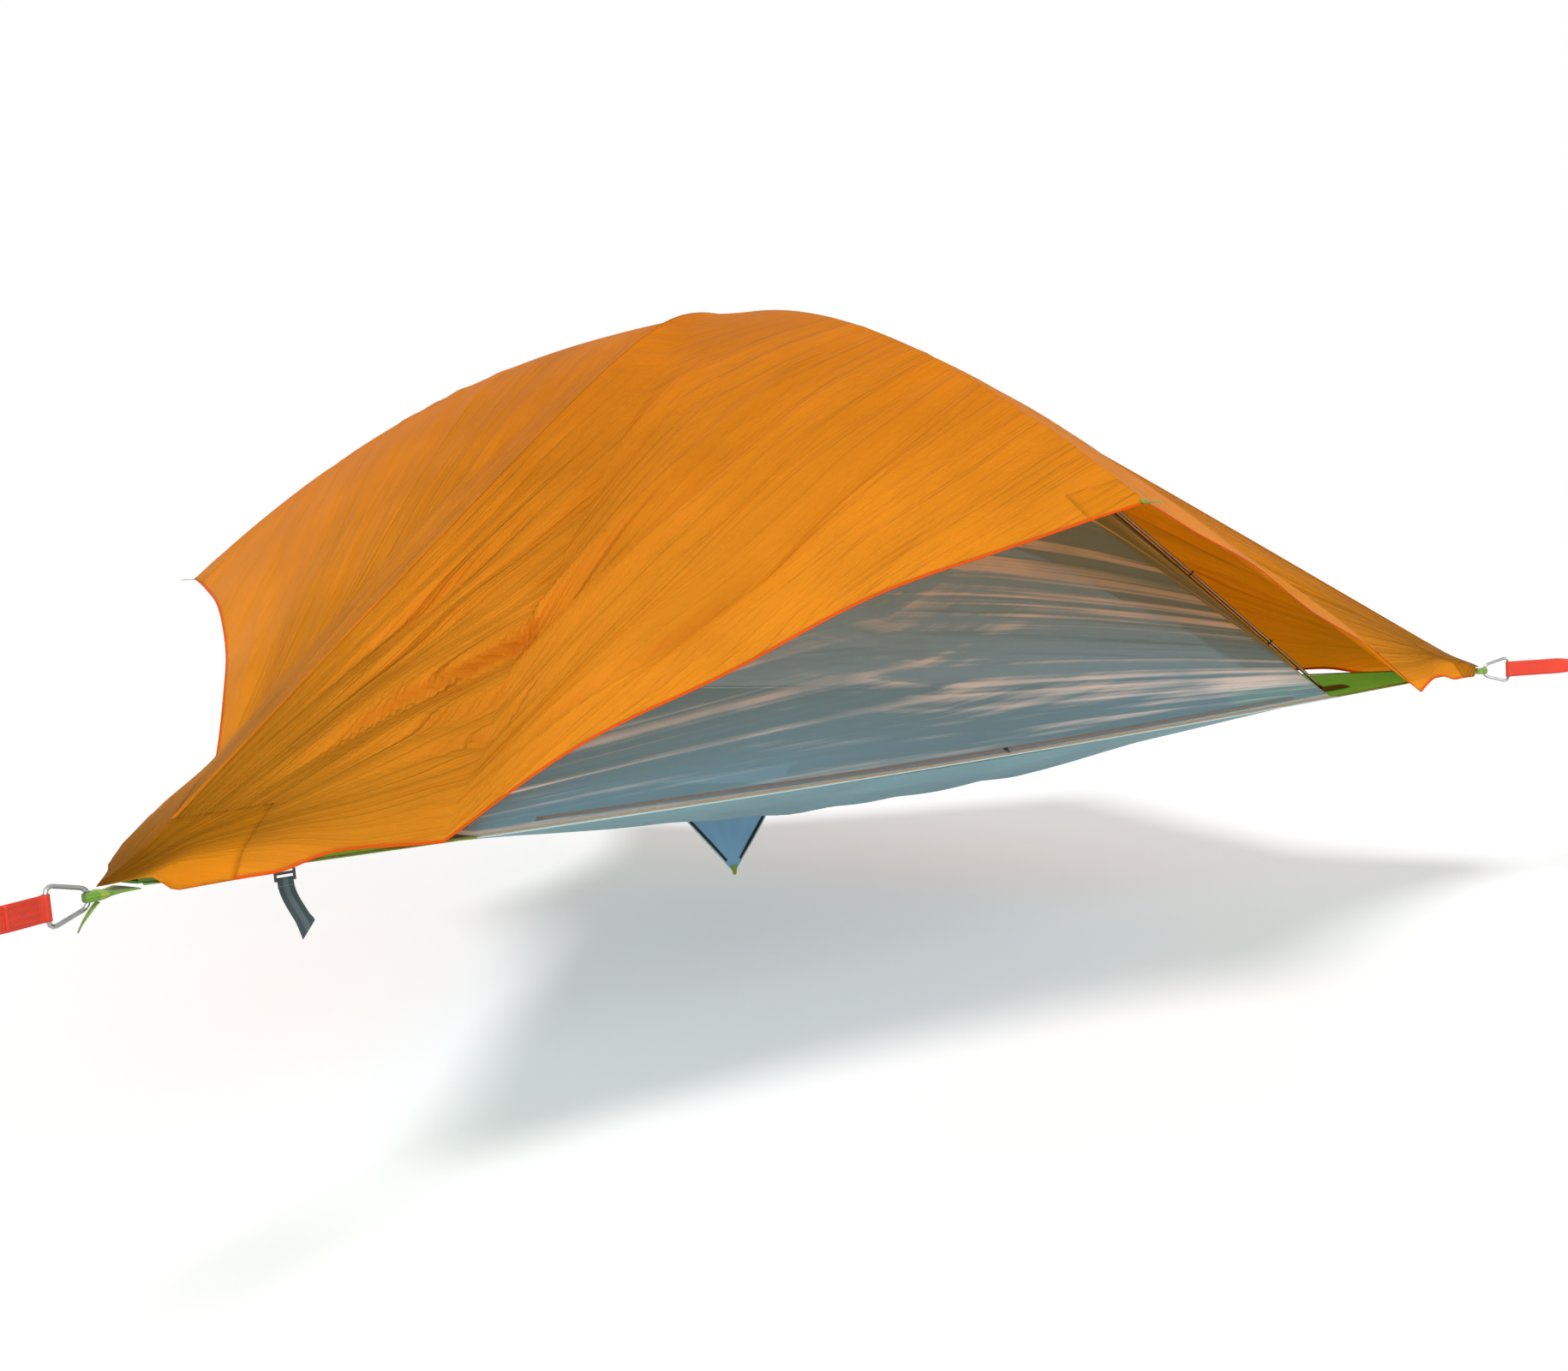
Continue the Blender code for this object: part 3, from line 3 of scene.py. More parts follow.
import bpy
import numpy as np
from mathutils import Matrix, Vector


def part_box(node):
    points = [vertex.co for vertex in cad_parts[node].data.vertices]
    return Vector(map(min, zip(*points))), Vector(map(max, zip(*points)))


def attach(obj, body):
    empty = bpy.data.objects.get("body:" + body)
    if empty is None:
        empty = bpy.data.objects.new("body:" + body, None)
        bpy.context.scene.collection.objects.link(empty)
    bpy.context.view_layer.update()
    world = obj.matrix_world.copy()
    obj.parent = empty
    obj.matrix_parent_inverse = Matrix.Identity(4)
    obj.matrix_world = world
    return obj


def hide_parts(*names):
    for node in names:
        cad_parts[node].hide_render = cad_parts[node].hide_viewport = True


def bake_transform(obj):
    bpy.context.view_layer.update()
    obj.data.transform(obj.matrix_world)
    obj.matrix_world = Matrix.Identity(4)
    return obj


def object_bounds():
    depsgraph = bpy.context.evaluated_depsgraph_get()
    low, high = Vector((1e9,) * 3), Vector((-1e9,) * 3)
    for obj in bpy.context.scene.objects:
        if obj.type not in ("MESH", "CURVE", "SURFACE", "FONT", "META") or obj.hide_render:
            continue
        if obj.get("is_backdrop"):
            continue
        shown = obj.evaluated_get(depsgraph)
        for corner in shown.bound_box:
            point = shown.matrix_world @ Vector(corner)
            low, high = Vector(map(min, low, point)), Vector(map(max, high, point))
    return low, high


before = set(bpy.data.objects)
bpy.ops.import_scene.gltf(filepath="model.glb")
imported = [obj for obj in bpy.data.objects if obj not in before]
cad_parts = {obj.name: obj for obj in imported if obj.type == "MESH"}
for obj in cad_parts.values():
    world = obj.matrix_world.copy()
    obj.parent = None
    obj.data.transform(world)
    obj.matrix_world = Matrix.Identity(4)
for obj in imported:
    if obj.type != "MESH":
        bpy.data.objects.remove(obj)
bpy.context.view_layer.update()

bpy.context.scene.view_settings.view_transform = "Standard"


# ---------------------------------------------------------------- Camera
# The camera stands off the left half of the front edge, half a metre above the plane of the
# rings, and looks slightly down along the front of the tent towards its middle and right.
CAMERA_PLACE = (-2.10853, -3.91597, 0.50757)
CAMERA_RIGHT = (0.865851, -0.495438, -0.069598)
CAMERA_UP = (0.105887, 0.045511, 0.993336)
CAMERA_BACK = (-0.488969, -0.867450, 0.091866)
LENS_SHARE = 0.890284  # focal length over the width of the picture

camera_data = bpy.data.cameras.new("camera")
camera_data.sensor_fit = "HORIZONTAL"
camera_data.lens = LENS_SHARE * camera_data.sensor_width
camera_data.clip_end = 200
camera = bpy.data.objects.new("camera", camera_data)
bpy.context.scene.collection.objects.link(camera)
axes = zip(CAMERA_RIGHT, CAMERA_UP, CAMERA_BACK, CAMERA_PLACE)
camera.matrix_world = Matrix([*axes, (0, 0, 0, 1)])
bpy.context.scene.camera = camera


# ---------------------------------------------------------------- Studio
# A wide pale floor well below the hanging hatch, which only takes the soft shadow of the tent,
# a plain white surround, a lamp high on the left and a broader one low in front.
FLOOR_DROP = 0.80
FLOOR_HALF = 40.0
FLOOR_COLOUR = (0.86, 0.86, 0.86)
FLOOR_GLOW = 0.34
SURROUND_LIGHT = 0.28
# Strength of each lamp, and in degrees the spread of its light, its tilt and its heading
LAMPS = {"key_lamp": (1.75, 14, 42, -62), "fill_lamp": (1.3, 50, 72, 8)}


def feed(tree, node, inputs):
    """Sets inputs of a node by number or name: a socket is linked, anything else is the value."""
    for key, value in inputs.items():
        if isinstance(value, bpy.types.NodeSocket):
            tree.links.new(value, node.inputs[key])
        else:
            node.inputs[key].default_value = value


def node_of(tree, kind, inputs, **settings):
    """The outputs of a new shader node with these inputs and settings."""
    made = tree.nodes.new("ShaderNode" + kind)
    for name, value in settings.items():
        setattr(made, name, value)
    feed(tree, made, inputs)
    return made.outputs


def maths(tree, operation, *values, **settings):
    """An operation on sockets and numbers."""
    return node_of(tree, "Math", dict(enumerate(values)), operation=operation, **settings)[0]


def ranged(tree, value, *ends, **settings):
    """A number carried from one range to another, which is 0 to 1 if it isn't given."""
    return node_of(tree, "MapRange", dict(enumerate((value, *ends))), **settings)[0]


def seen_directly(tree):
    """1 where a camera, glossy or see-through ray looks straight at the surface, otherwise 0."""
    rays = node_of(tree, "LightPath", {})
    near = maths(tree, "MAXIMUM", rays["Is Camera Ray"], rays["Is Glossy Ray"])
    return maths(tree, "MAXIMUM", near, rays["Is Transmission Ray"])


floor_mesh = bpy.data.meshes.new("studio_floor")
ends = [(a * FLOOR_HALF, b * FLOOR_HALF, -FLOOR_DROP) for a, b in ((-1, -1), (1, -1), (1, 1), (-1, 1))]
floor_mesh.from_pydata(ends, [], [(0, 1, 2, 3)])
floor_look = bpy.data.materials.new("studio_floor")
floor_look.use_nodes = True
tree = floor_look.node_tree
tree.nodes.clear()
paper = node_of(tree, "BsdfDiffuse", {0: (*FLOOR_COLOUR, 1)})[0]
lift = maths(tree, "MULTIPLY", seen_directly(tree), FLOOR_GLOW)
glow = node_of(tree, "Emission", {0: (1, 1, 1, 1), "Strength": lift})[0]
both = node_of(tree, "AddShader", {0: paper, 1: glow})[0]
node_of(tree, "OutputMaterial", {"Surface": both})
floor_mesh.materials.append(floor_look)
studio_floor = bpy.data.objects.new("studio_floor", floor_mesh)
bpy.context.scene.collection.objects.link(studio_floor)
studio_floor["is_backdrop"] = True

world = bpy.data.worlds.new("surround")
bpy.context.scene.world = world
world.use_nodes = True
tree = world.node_tree
level = ranged(tree, seen_directly(tree), 0, 1, SURROUND_LIGHT, 1.0)
feed(tree, tree.nodes["Background"], {"Color": (1, 1, 1, 1), "Strength": level})

for name, (strength, spread, tilt, heading) in LAMPS.items():
    lamp_data = bpy.data.lights.new(name, "SUN")
    lamp_data.energy = strength
    lamp_data.angle = math.radians(spread)
    lamp = bpy.data.objects.new(name, lamp_data)
    lamp.rotation_euler = (math.radians(tilt), 0, math.radians(heading))
    bpy.context.scene.collection.objects.link(lamp)


# ---------------------------------------------------------------- Fly
# The rain fly: three cut panels of thin coated amber polyester, stretched from the peak to the
# three rings and to the three raised tips between them. Folds run out from the rings.
BEARINGS = (210, 330, 90)
SIDE = 4.0
RING_RADIUS = SIDE / 2 / math.cos(math.radians(30))
FLY_PEAK = 1.262
FLY_CORNER = (2.262, 0.010)
FLY_TIP = (1.76, 0.566)
FLY_BEND = 0.398
FLY_EYE = 0.004  # share of the way from the peak that stays open
FLY_OVERHANG = 0.035
FLY_DROOP = 0.028
FLY_WAVE = 0.010
FLY_HOLLOW = 0.06
FLY_RISE = 0.055
FLY_RIDGE_POWERS = (1.7, 2.0, 2.0)
FLY_TURN_SHARE = 0.28
FLY_TURNS = {
    (0, 1): (0.157, -0.001),
    (0, -1): (0.168, 0.039),
    (1, -1): (0.0875, -0.0078),
    (1, 1): (0.18, 0.0),
    (2, 1): (0.125, 0.0075),
    (2, -1): (0.125, 0.0075),
}
FLY_THICKNESS = 0.0009
FLY_ROWS = 140
FLY_COLUMNS = 128
FLY_ROW_POWER = 1.25  # rows lie closer at the edge, columns at the seam
FLY_COLUMN_POWER = 1.15
FLY_BLEND_POWER = 0.7


def spots_of(x, y, z):
    """Points from three arrays or numbers."""
    return np.stack(np.broadcast_arrays(x, y, z), axis=-1).astype(float)


def ring_spot(bearing, radius, height=0.0):
    """Points at a bearing in degrees, a radius from the middle and a height."""
    angle = np.radians(bearing)
    return spots_of(radius * np.cos(angle), radius * np.sin(angle), height)


RINGS = ring_spot(np.array(BEARINGS), RING_RADIUS)


def crown(share, roundness):
    """Falls from 1 to 0: the rise of a rounded corner, ((r^3 + s^3)^(1/3) - r), turned upside down."""
    rise = (roundness**3 + share**3) ** (1 / 3) - roundness
    return 1 - rise / ((roundness**3 + 1) ** (1 / 3) - roundness)


def side_inward(corner, side):
    """The direction from the straight side next to a corner towards the middle of the tent."""
    return -ring_spot(BEARINGS[corner] + side * 60, 1.0)


def fly_free_edge(corner, side, run):
    """The free edge of half a panel, for run from 0 at the ring to 1 at the raised tip.

    To the turn beside the ring it is straight, but where it falls it first clears the webbing and
    drops with the fourth power of the run. From there it is a line drawn in by a parabola.
    """
    ring = ring_spot(BEARINGS[corner], *FLY_CORNER)
    tip = ring_spot(BEARINGS[corner] + side * 60, *FLY_TIP)
    inward = side_inward(corner, side)
    share, height = FLY_TURNS[(corner, side)]
    turn = RINGS[corner] + (RINGS[(corner + side) % 3] - RINGS[corner]) * share - inward * FLY_OVERHANG
    turn[2] = height * SIDE
    near = np.clip(run / FLY_TURN_SHARE, 0, 1)[:, None]
    far = np.clip((run - FLY_TURN_SHARE) / (1 - FLY_TURN_SHARE), 0, 1)[:, None]
    edge = ring + (turn - ring) * near
    edge[:, 2] = ring[2] + (turn[2] - ring[2]) * near[:, 0] ** (4 if turn[2] < ring[2] else 1)
    bow = inward * FLY_HOLLOW + np.array([0, 0, FLY_RISE])
    return edge + (tip - turn) * far + bow * 4 * far * (1 - far)


def smooth_step(value, low=0.0, high=1.0):
    """3t^2 - 2t^3 of the share t of the way from low to high, held at 0 and 1 outside."""
    share = np.clip((value - low) / (high - low), 0, 1)
    return share * share * (3 - 2 * share)


def fold_lines(points, edge, corner, side):
    """Two measures of half a panel that its folds follow: the way from the seam (0) to the free
    edge (1), as an angle seen from the ring over the angle of the edge at that distance, and
    the distance from the ring in the plane.
    """
    ring = ring_spot(BEARINGS[corner], FLY_CORNER[0])
    inward = -ring_spot(BEARINGS[corner], 1.0)
    across = ring_spot(BEARINGS[corner] + 90, side)

    def polar(spots):
        gap = spots - ring
        return np.hypot(gap[..., 0], gap[..., 1]), np.arctan2(
            (gap * across).sum(-1), np.maximum((gap * inward).sum(-1), 1e-6)
        )

    far, angle = polar(points)
    edge_far, edge_angle = polar(edge)
    order = np.argsort(edge_far)
    limit = np.interp(far, edge_far[order], edge_angle[order])
    return np.clip(np.abs(angle) / np.maximum(limit, 0.05), 0, 1.2), far


def fly_half(corner, side, rows, columns):
    """Half a panel as rows from the peak to the edge: the edge's plan scaled by the row's share.

    The height goes from the crown curve over the pole arm, at the seam, to 1 - share^power along
    the line of the raised tip. Beside the ring the cloth is drawn out past the webbing and hangs
    down there. Returns the points and the two fold measures.
    """
    run = np.linspace(0, 1, columns) ** FLY_COLUMN_POWER
    share = FLY_EYE + (1 - FLY_EYE) * (1 - (1 - np.linspace(0, 1, rows)) ** FLY_ROW_POWER)
    edge = fly_free_edge(corner, side, run)
    blend = (run**2 * (3 - 2 * run)) ** FLY_BLEND_POWER
    share = share[:, None]
    seam = crown(share, FLY_BEND / FLY_CORNER[0])
    power = FLY_RIDGE_POWERS[corner if side > 0 else (corner + 2) % 3]
    rise = seam + (1 - share**power - seam) * blend
    points = np.empty((rows, columns, 3))
    points[..., :2] = edge[:, :2] * share[..., None]
    points[..., 2] = edge[:, 2] + (FLY_PEAK - edge[:, 2]) * rise
    points[..., 2] += FLY_WAVE * np.sin(3 * math.tau * run) * np.sin(np.pi * run) * share**2
    outward = -side_inward(corner, side)
    beside = smooth_step(run, 0.0, 0.05) * (1 - smooth_step(run, 0.12, 0.22))
    reach = ((edge - RINGS[corner]) * outward).sum(-1)
    push = np.maximum(FLY_OVERHANG - reach, 0) * beside * smooth_step(share, 0.94, 1.0)
    points += outward * push[..., None]
    outside = ((points - RINGS[corner]) * outward).sum(-1)
    points[..., 2] -= FLY_DROOP * beside * smooth_step(outside, 0.013, FLY_OVERHANG)
    way, far = fold_lines(points, edge, corner, side)
    return points, way, far


def folded(way, far, folds):
    """Height of the folds of half a panel: for each fold a bell curve across its line, whose place
    moves with the distance, times a smooth rise where it starts and a fall where it ends. The seam
    and the taut free edge hold them down.
    """
    height = np.zeros_like(way)
    for place, drift, width, depth, start, end in folds:
        line = place + drift * smooth_step(far, start, end)
        across = (way - line) / width
        length = smooth_step(far, start, start + 0.35 * (end - start))
        length *= 1 - smooth_step(far, end - 0.5 * (end - start), end)
        height += depth * np.exp(-across * across) * length
    held = smooth_step(way, 0.0, 0.06) * (1 - 0.85 * smooth_step(way, 0.86, 1.0))
    return height * held * smooth_step(far, 0.08, 0.40)


def small_folds(seed, count, ways, widths, depths, starts, runs):
    """A row of folds with their numbers drawn evenly between limits, always the same for a seed."""
    chance = np.random.default_rng(seed)
    folds = []
    for place in np.linspace(*ways, count):
        start = chance.uniform(*starts)
        place = place + chance.normal() * 0.012
        drift = chance.uniform(-0.05, 0.01)
        width = chance.uniform(*widths)
        depth = chance.uniform(*depths) * (1 if chance.random() < 0.6 else -1)
        folds.append((place, drift, width, depth, start, start + chance.uniform(*runs)))
    return folds


def unit(vectors):
    """The same directions with length 1."""
    return vectors / np.linalg.norm(vectors, axis=-1, keepdims=True)


def unit_normals(grid):
    """The direction square to a grid of points at each of them, upwards for a sheet seen from above."""
    square = np.cross(np.gradient(grid, axis=0), np.gradient(grid, axis=1))
    return square / np.maximum(np.linalg.norm(square, axis=-1, keepdims=True), 1e-12)


def laid_flat(grid):
    """Where each point of a fan of columns lies once the sheet is rolled out, in metres.

    The distance from the first row, run along the column, is the radius. The steps between the
    column ends, over that radius, add up to the angle.
    """
    steps = np.linalg.norm(np.diff(grid, axis=0), axis=-1)
    radius = np.concatenate([np.zeros((1, grid.shape[1])), np.cumsum(steps, axis=0)])
    outward = unit(grid[-1] - grid[-2])
    ends = np.diff(grid[-1], axis=0)
    middle = (outward[1:] + outward[:-1]) / 2
    square = ends - (ends * middle).sum(-1, keepdims=True) * middle
    turn = np.linalg.norm(square, axis=-1) / ((radius[-1, 1:] + radius[-1, :-1]) / 2)
    angle = np.concatenate([[0], np.cumsum(turn)])
    angle -= angle[-1] / 2
    return np.stack([radius * np.sin(angle), -radius * np.cos(angle)], axis=-1)


def grid_faces(rows, columns, closed=False):
    """The corner numbers of each square of a grid. closed joins the last column to the first."""
    i, j = np.meshgrid(np.arange(rows - 1), np.arange(columns if closed else columns - 1), indexing="ij")
    after = (j + 1) % columns
    corners = [i * columns + j, (i + 1) * columns + j, (i + 1) * columns + after, i * columns + after]
    return np.stack(corners, axis=-1).reshape(-1, 4)


def add_map(piece, name, values):
    """A UV map, from two numbers at each point."""
    mesh = piece.data
    index = np.empty(len(mesh.loops), dtype=np.int32)
    mesh.loops.foreach_get("vertex_index", index)
    layer = mesh.uv_layers.new(name=name)
    layer.uv.foreach_set("vector", np.asarray(values, float).reshape(-1, 2)[index].ravel())


def add_piece(name, points, faces, look, flat=None, thickness=None):
    """A named mesh from arrays of points and faces, with its rolled-out place as a UV map.

    thickness gives a cloth its two faces, half to each side.
    """
    mesh = bpy.data.meshes.new(name)
    points = np.asarray(points, float).reshape(-1, 3)
    faces = np.asarray(faces)
    mesh.vertices.add(len(points))
    mesh.vertices.foreach_set("co", points.ravel())
    mesh.loops.add(faces.size)
    mesh.loops.foreach_set("vertex_index", faces.ravel())
    mesh.polygons.add(len(faces))
    mesh.polygons.foreach_set("loop_start", np.arange(0, faces.size, faces.shape[1]))
    mesh.polygons.foreach_set("use_smooth", np.full(len(faces), True))
    mesh.update(calc_edges=True)
    mesh.materials.append(look)
    piece = bpy.data.objects.new(name, mesh)
    bpy.context.scene.collection.objects.link(piece)
    if flat is not None:
        add_map(piece, "cloth", flat)
    if thickness:
        wall = piece.modifiers.new("thickness", "SOLIDIFY")
        wall.thickness = thickness
        wall.offset = 0
        wall.use_rim = True
    return piece


def add_sheet(name, grid, look, flat=None, thickness=None, closed=False, way=1):
    """A piece from a grid of points. A way of -1 turns its faces over."""
    faces = grid_faces(*grid.shape[:2], closed)[:, ::way]
    return add_piece(name, grid, faces, look, flat, thickness)


def map_parts(tree, name):
    """The numbers of a UV map, one by one."""
    return node_of(tree, "SeparateXYZ", {0: node_of(tree, "UVMap", {}, uv_map=name)[0]})


def own_place(tree):
    """The place on the object."""
    return node_of(tree, "TexCoord", {})["Object"]


def noise_of(tree, place, scale, detail, **others):
    """Noise at a place."""
    return node_of(tree, "TexNoise", {"Vector": place, "Scale": scale, "Detail": detail, **others})[0]


def colour_mix(tree, share, first, second):
    """From one colour to another, each a socket or three numbers."""
    ends = [(*end, 1) if isinstance(end, tuple) else end for end in (first, second)]
    return node_of(tree, "Mix", {0: share, 6: ends[0], 7: ends[1]}, data_type="RGBA")[2]


def bumped(tree, height, distance, strength=1.0, **others):
    """Directions of a surface that is raised by a height."""
    return node_of(tree, "Bump", {"Height": height, "Distance": distance, "Strength": strength, **others})[0]


def new_look(name, inputs):
    """A material, its node tree and its main shader with these inputs."""
    look = bpy.data.materials.new(name)
    look.use_nodes = True
    shader = look.node_tree.nodes["Principled BSDF"]
    feed(look.node_tree, shader, inputs)
    return look, look.node_tree, shader


def thread_height(tree, flat, pitch, rip_pitch=None):
    """Height of a plain weave: the product of two sines, and where there is a ripstop grid its
    thicker threads, which are high powers of cosines.
    """
    turns = [maths(tree, "MULTIPLY", flat[k], math.tau / pitch) for k in range(2)]
    weave = maths(tree, "MULTIPLY", *[maths(tree, "SINE", turn) for turn in turns])
    if rip_pitch is None:
        return weave
    rips = []
    for k in range(2):
        wave = maths(tree, "COSINE", maths(tree, "MULTIPLY", flat[k], math.pi / rip_pitch))
        rips.append(maths(tree, "POWER", maths(tree, "ABSOLUTE", wave), 40.0))
    return maths(tree, "MULTIPLY_ADD", maths(tree, "MAXIMUM", *rips), 2.0, weave)


def pull_angles(points, corner):
    """The angles at the two rings of a side between that side and each point, seen from above."""
    start, end = RINGS[corner], RINGS[(corner + 1) % 3]
    along = ((points - start) * (end - start) / SIDE).sum(-1)
    inward = ((points - start) * side_inward(corner, 1)).sum(-1)
    return np.stack([np.arctan2(inward, along), np.arctan2(inward, SIDE - along)], axis=-1)


def pull_streaks(tree, fine, bias=1.0):
    """Streaks that run out from the two rings of a side: noise drawn out along the two angles of
    the "pull" map, where the nearer ring's streaks take over from the other's.
    """
    angles = map_parts(tree, "pull")
    fans = []
    for own in (0, 1):
        across = maths(tree, "MULTIPLY", angles[own], fine)
        along = maths(tree, "MULTIPLY", angles[1 - own], 2.2)
        drawn = node_of(tree, "CombineXYZ", {0: across, 1: along, 2: 3.7 * own})[0]
        fans.append(noise_of(tree, drawn, 1.0, 5, Roughness=0.55))
    nearer = maths(tree, "MULTIPLY_ADD", angles[0], -bias, angles[1])
    share = ranged(tree, nearer, -0.12, 0.12, interpolation_type="SMOOTHSTEP")
    return node_of(tree, "Mix", {0: share, 2: fans[0], 3: fans[1]}, data_type="FLOAT")[0]


def tent_cloth(
    name, painted_low_colour, painted_high_colour, heights, through, through_colour=None, rough=0.42, pitch=0.0011,
    rip_pitch=0.008, crease=0.25, pulls=0.016
):
    """Thin coated cloth: its colour goes from one to the other between two heights, which is painted
    shade by height. It is clouded a little at random, and painted darker and lighter along the pull
    streaks as shade of the folds. The pull streaks, small creases and threads are bumps. Part of the
    light comes through both of its faces, so its colour for that is nearer to white.
    """
    look, tree, shader = new_look(name, {"Roughness": rough, "Specular IOR Level": 0.05})
    place = own_place(tree)
    streaks = pull_streaks(tree, 30, 0.6)
    height = node_of(tree, "SeparateXYZ", {0: place})[2]
    # Painted shade by height: the share of the way from the low colour to the high colour.
    rise = ranged(tree, height, *heights, interpolation_type="SMOOTHSTEP")
    # Painted shade of the folds: along the pull streaks the colour is scaled darker and lighter, with a
    # random cloud mixed in.
    fold_shade_and_cloud = maths(tree, "MULTIPLY_ADD", streaks, 0.8, noise_of(tree, place, 3.5, 6))
    shade = ranged(tree, fold_shade_and_cloud, 0.6, 1.2, 0.84, 1.12)
    tint = {0: colour_mix(tree, rise, painted_low_colour, painted_high_colour), "Scale": shade}
    normal = bumped(tree, noise_of(tree, place, 14, 3, Distortion=0.6), 0.012, crease)
    normal = bumped(tree, streaks, pulls, Normal=normal)
    threads = thread_height(tree, map_parts(tree, "cloth"), pitch, rip_pitch)
    normal = bumped(tree, threads, 0.00012, 0.25, Normal=normal)
    colour = node_of(tree, "VectorMath", tint, operation="SCALE")[0]
    feed(tree, shader, {"Base Color": colour, "Normal": normal})
    light = {0: (*(through_colour or painted_high_colour), 1), "Normal": normal}
    glow = node_of(tree, "BsdfTranslucent", light)[0]
    both = node_of(tree, "MixShader", {0: through, 1: shader.outputs[0], 2: glow})[0]
    feed(tree, tree.nodes["Material Output"], {"Surface": both})
    return look


# Painted shade by height: the amber is lighter low down and darker towards the top of the fly.
AMBER_LOW_LIT = (0.880, 0.415, 0.030)
AMBER_TOP_SHADED = (0.800, 0.330, 0.016)
AMBER_THROUGH = (1.000, 0.560, 0.060)
amber_cloth = tent_cloth("amber_cloth", AMBER_LOW_LIT, AMBER_TOP_SHADED, (0.25, 1.15), 0.56, AMBER_THROUGH, pulls=0.06)

# The folds of half a panel: way from seam to edge, drift, width, height, and where they start
# and end from the ring. The near left ring has the deep ones; the rest have the small ones.
DEEP_FOLDS = [
    (0.45, 0.02, 0.030, -0.026, 0.20, 2.00),
    (0.37, 0.05, 0.040, 0.020, 0.20, 1.60),
    (0.53, 0.00, 0.035, 0.018, 0.25, 1.80),
    (0.95, -0.27, 0.028, -0.026, 0.45, 2.05),
    (0.86, -0.24, 0.034, 0.017, 0.40, 1.80),
    (1.00, -0.20, 0.028, 0.009, 0.50, 1.80),
    (0.68, -0.05, 0.026, -0.015, 0.35, 1.50),
    (0.62, 0.02, 0.022, 0.007, 0.35, 1.70),
    (0.20, 0.06, 0.030, 0.008, 0.30, 1.30),
    (0.13, 0.05, 0.026, -0.007, 0.30, 1.20),
]
# The two rows of small folds: what is added to the seed, how many there are, and the limits of
# their way, width, height, start and length.
SMALL_FOLDS = [
    (0, 30, (0.08, 0.96), (0.010, 0.020), (0.004, 0.010), (0.30, 1.1), (0.8, 1.5)),
    (5, 12, (0.15, 0.9), (0.02, 0.05), (0.006, 0.014), (0.25, 0.7), (0.7, 1.3)),
]
SMALL_SHARE = 0.6  # the height of folds where there are no deep ones
fly_halves = {}
for corner in range(3):
    for side in (1, -1):
        points, way, far = fly_half(corner, side, FLY_ROWS, FLY_COLUMNS)
        folds = []
        for step, *limits in SMALL_FOLDS:
            folds += small_folds(10 * corner + side + 1 + step, *limits)
        deep = (corner, side) == (0, 1)
        height = folded(way, far, folds + DEEP_FOLDS if deep else folds)
        fly_halves[(corner, side)] = (points, (1.0 if deep else SMALL_SHARE) * height)

fly_grids = []
for corner in range(3):
    after = (corner + 1) % 3
    first, first_folds = fly_halves[(corner, 1)]
    last, last_folds = fly_halves[(after, -1)]
    grid = np.concatenate([first, last[:, -2::-1]], axis=1)
    height = np.concatenate([first_folds, last_folds[:, -2::-1]], axis=1)
    grid = grid + unit_normals(grid) * height[..., None]
    fly_grids.append(grid)
    panel = add_sheet(f"fly_cloth_{corner + 1}", grid, amber_cloth, laid_flat(grid), FLY_THICKNESS)
    add_map(panel, "pull", pull_angles(grid, corner))
    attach(panel, "tent")
    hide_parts(f"fly_panel_{corner + 1}")


# ---------------------------------------------------------------- Netting walls
# The inner tent: three walls of fine grey insect netting, clipped to the pole arms above and
# sewn to the floor's edge below. It is stretched flat in the middle and bunched near the arms.
ARM_TOP = 1.19
ARM_FOOT = 1.80
ARM_FOOT_HEIGHT = -0.02933
ARM_BEND = 0.53
HUB_REACH = 0.085
NET_FOOT = 1.742
NET_HANG = 0.016
NET_EYE = 0.010
NET_DRAW_IN = 0.10
NET_TAUTNESS = 0.7
NET_LIFT = 0.004
NET_THICKNESS = 0.0008
CORNER_CUT = 0.70
WEBBING_WIDTH = 0.025
EDGE_SAG = 0.027
FLOOR_SAG = 0.145
FLOOR_EVENNESS = 4
TROUGH_LENGTH = 1.84
TROUGH_POWER = 1.2
NET_ROWS = 90
NET_COLUMNS = 160
NET_WRINKLE = 0.004
NET_COVER = 0.53  # the share of light that the net stops, without its streaks
NET_GREY = (0.210, 0.480, 0.640)
# The near-white colour of the netting's streaks, a painted highlight of its folds.
NET_STREAK_HIGHLIGHT = (0.840, 0.960, 1.000)


def hammock(spots):
    """Height of the hanging floor: the edges sag with the products of the corners' shares, and the
    middle sinks evenly, less steeply where a trough runs to a ring.
    """
    shares = (1 + 2 * (np.asarray(spots)[..., :2] @ RINGS[:, :2].T) / RING_RADIUS**2) / 3
    a, b, c = np.moveaxis(shares, -1, 0)
    sag = 4 * EDGE_SAG * (a * b + b * c + c * a)
    inside = np.maximum(shares, 1e-6)
    power = FLOOR_EVENNESS
    least = (inside**-power).sum(-1) ** (-1 / power)
    depth = 1 - (1 - np.minimum(least * 3 ** (1 + 1 / power), 1)) ** power
    trough = np.minimum((1 - shares.max(-1)) * SIDE / TROUGH_LENGTH, 1) ** TROUGH_POWER
    depth = np.where(shares.min(-1) > 0, depth, 0)
    return -sag - FLOOR_SAG * depth * np.maximum(trough, 0)


def arm_height(radius):
    """Height of a pole arm's middle line: the crown curve from the hub down to the foot."""
    free = ARM_FOOT - HUB_REACH
    share = np.maximum(radius - HUB_REACH, 0) / free
    return ARM_FOOT_HEIGHT + (ARM_TOP - ARM_FOOT_HEIGHT) * crown(share, ARM_BEND / free)


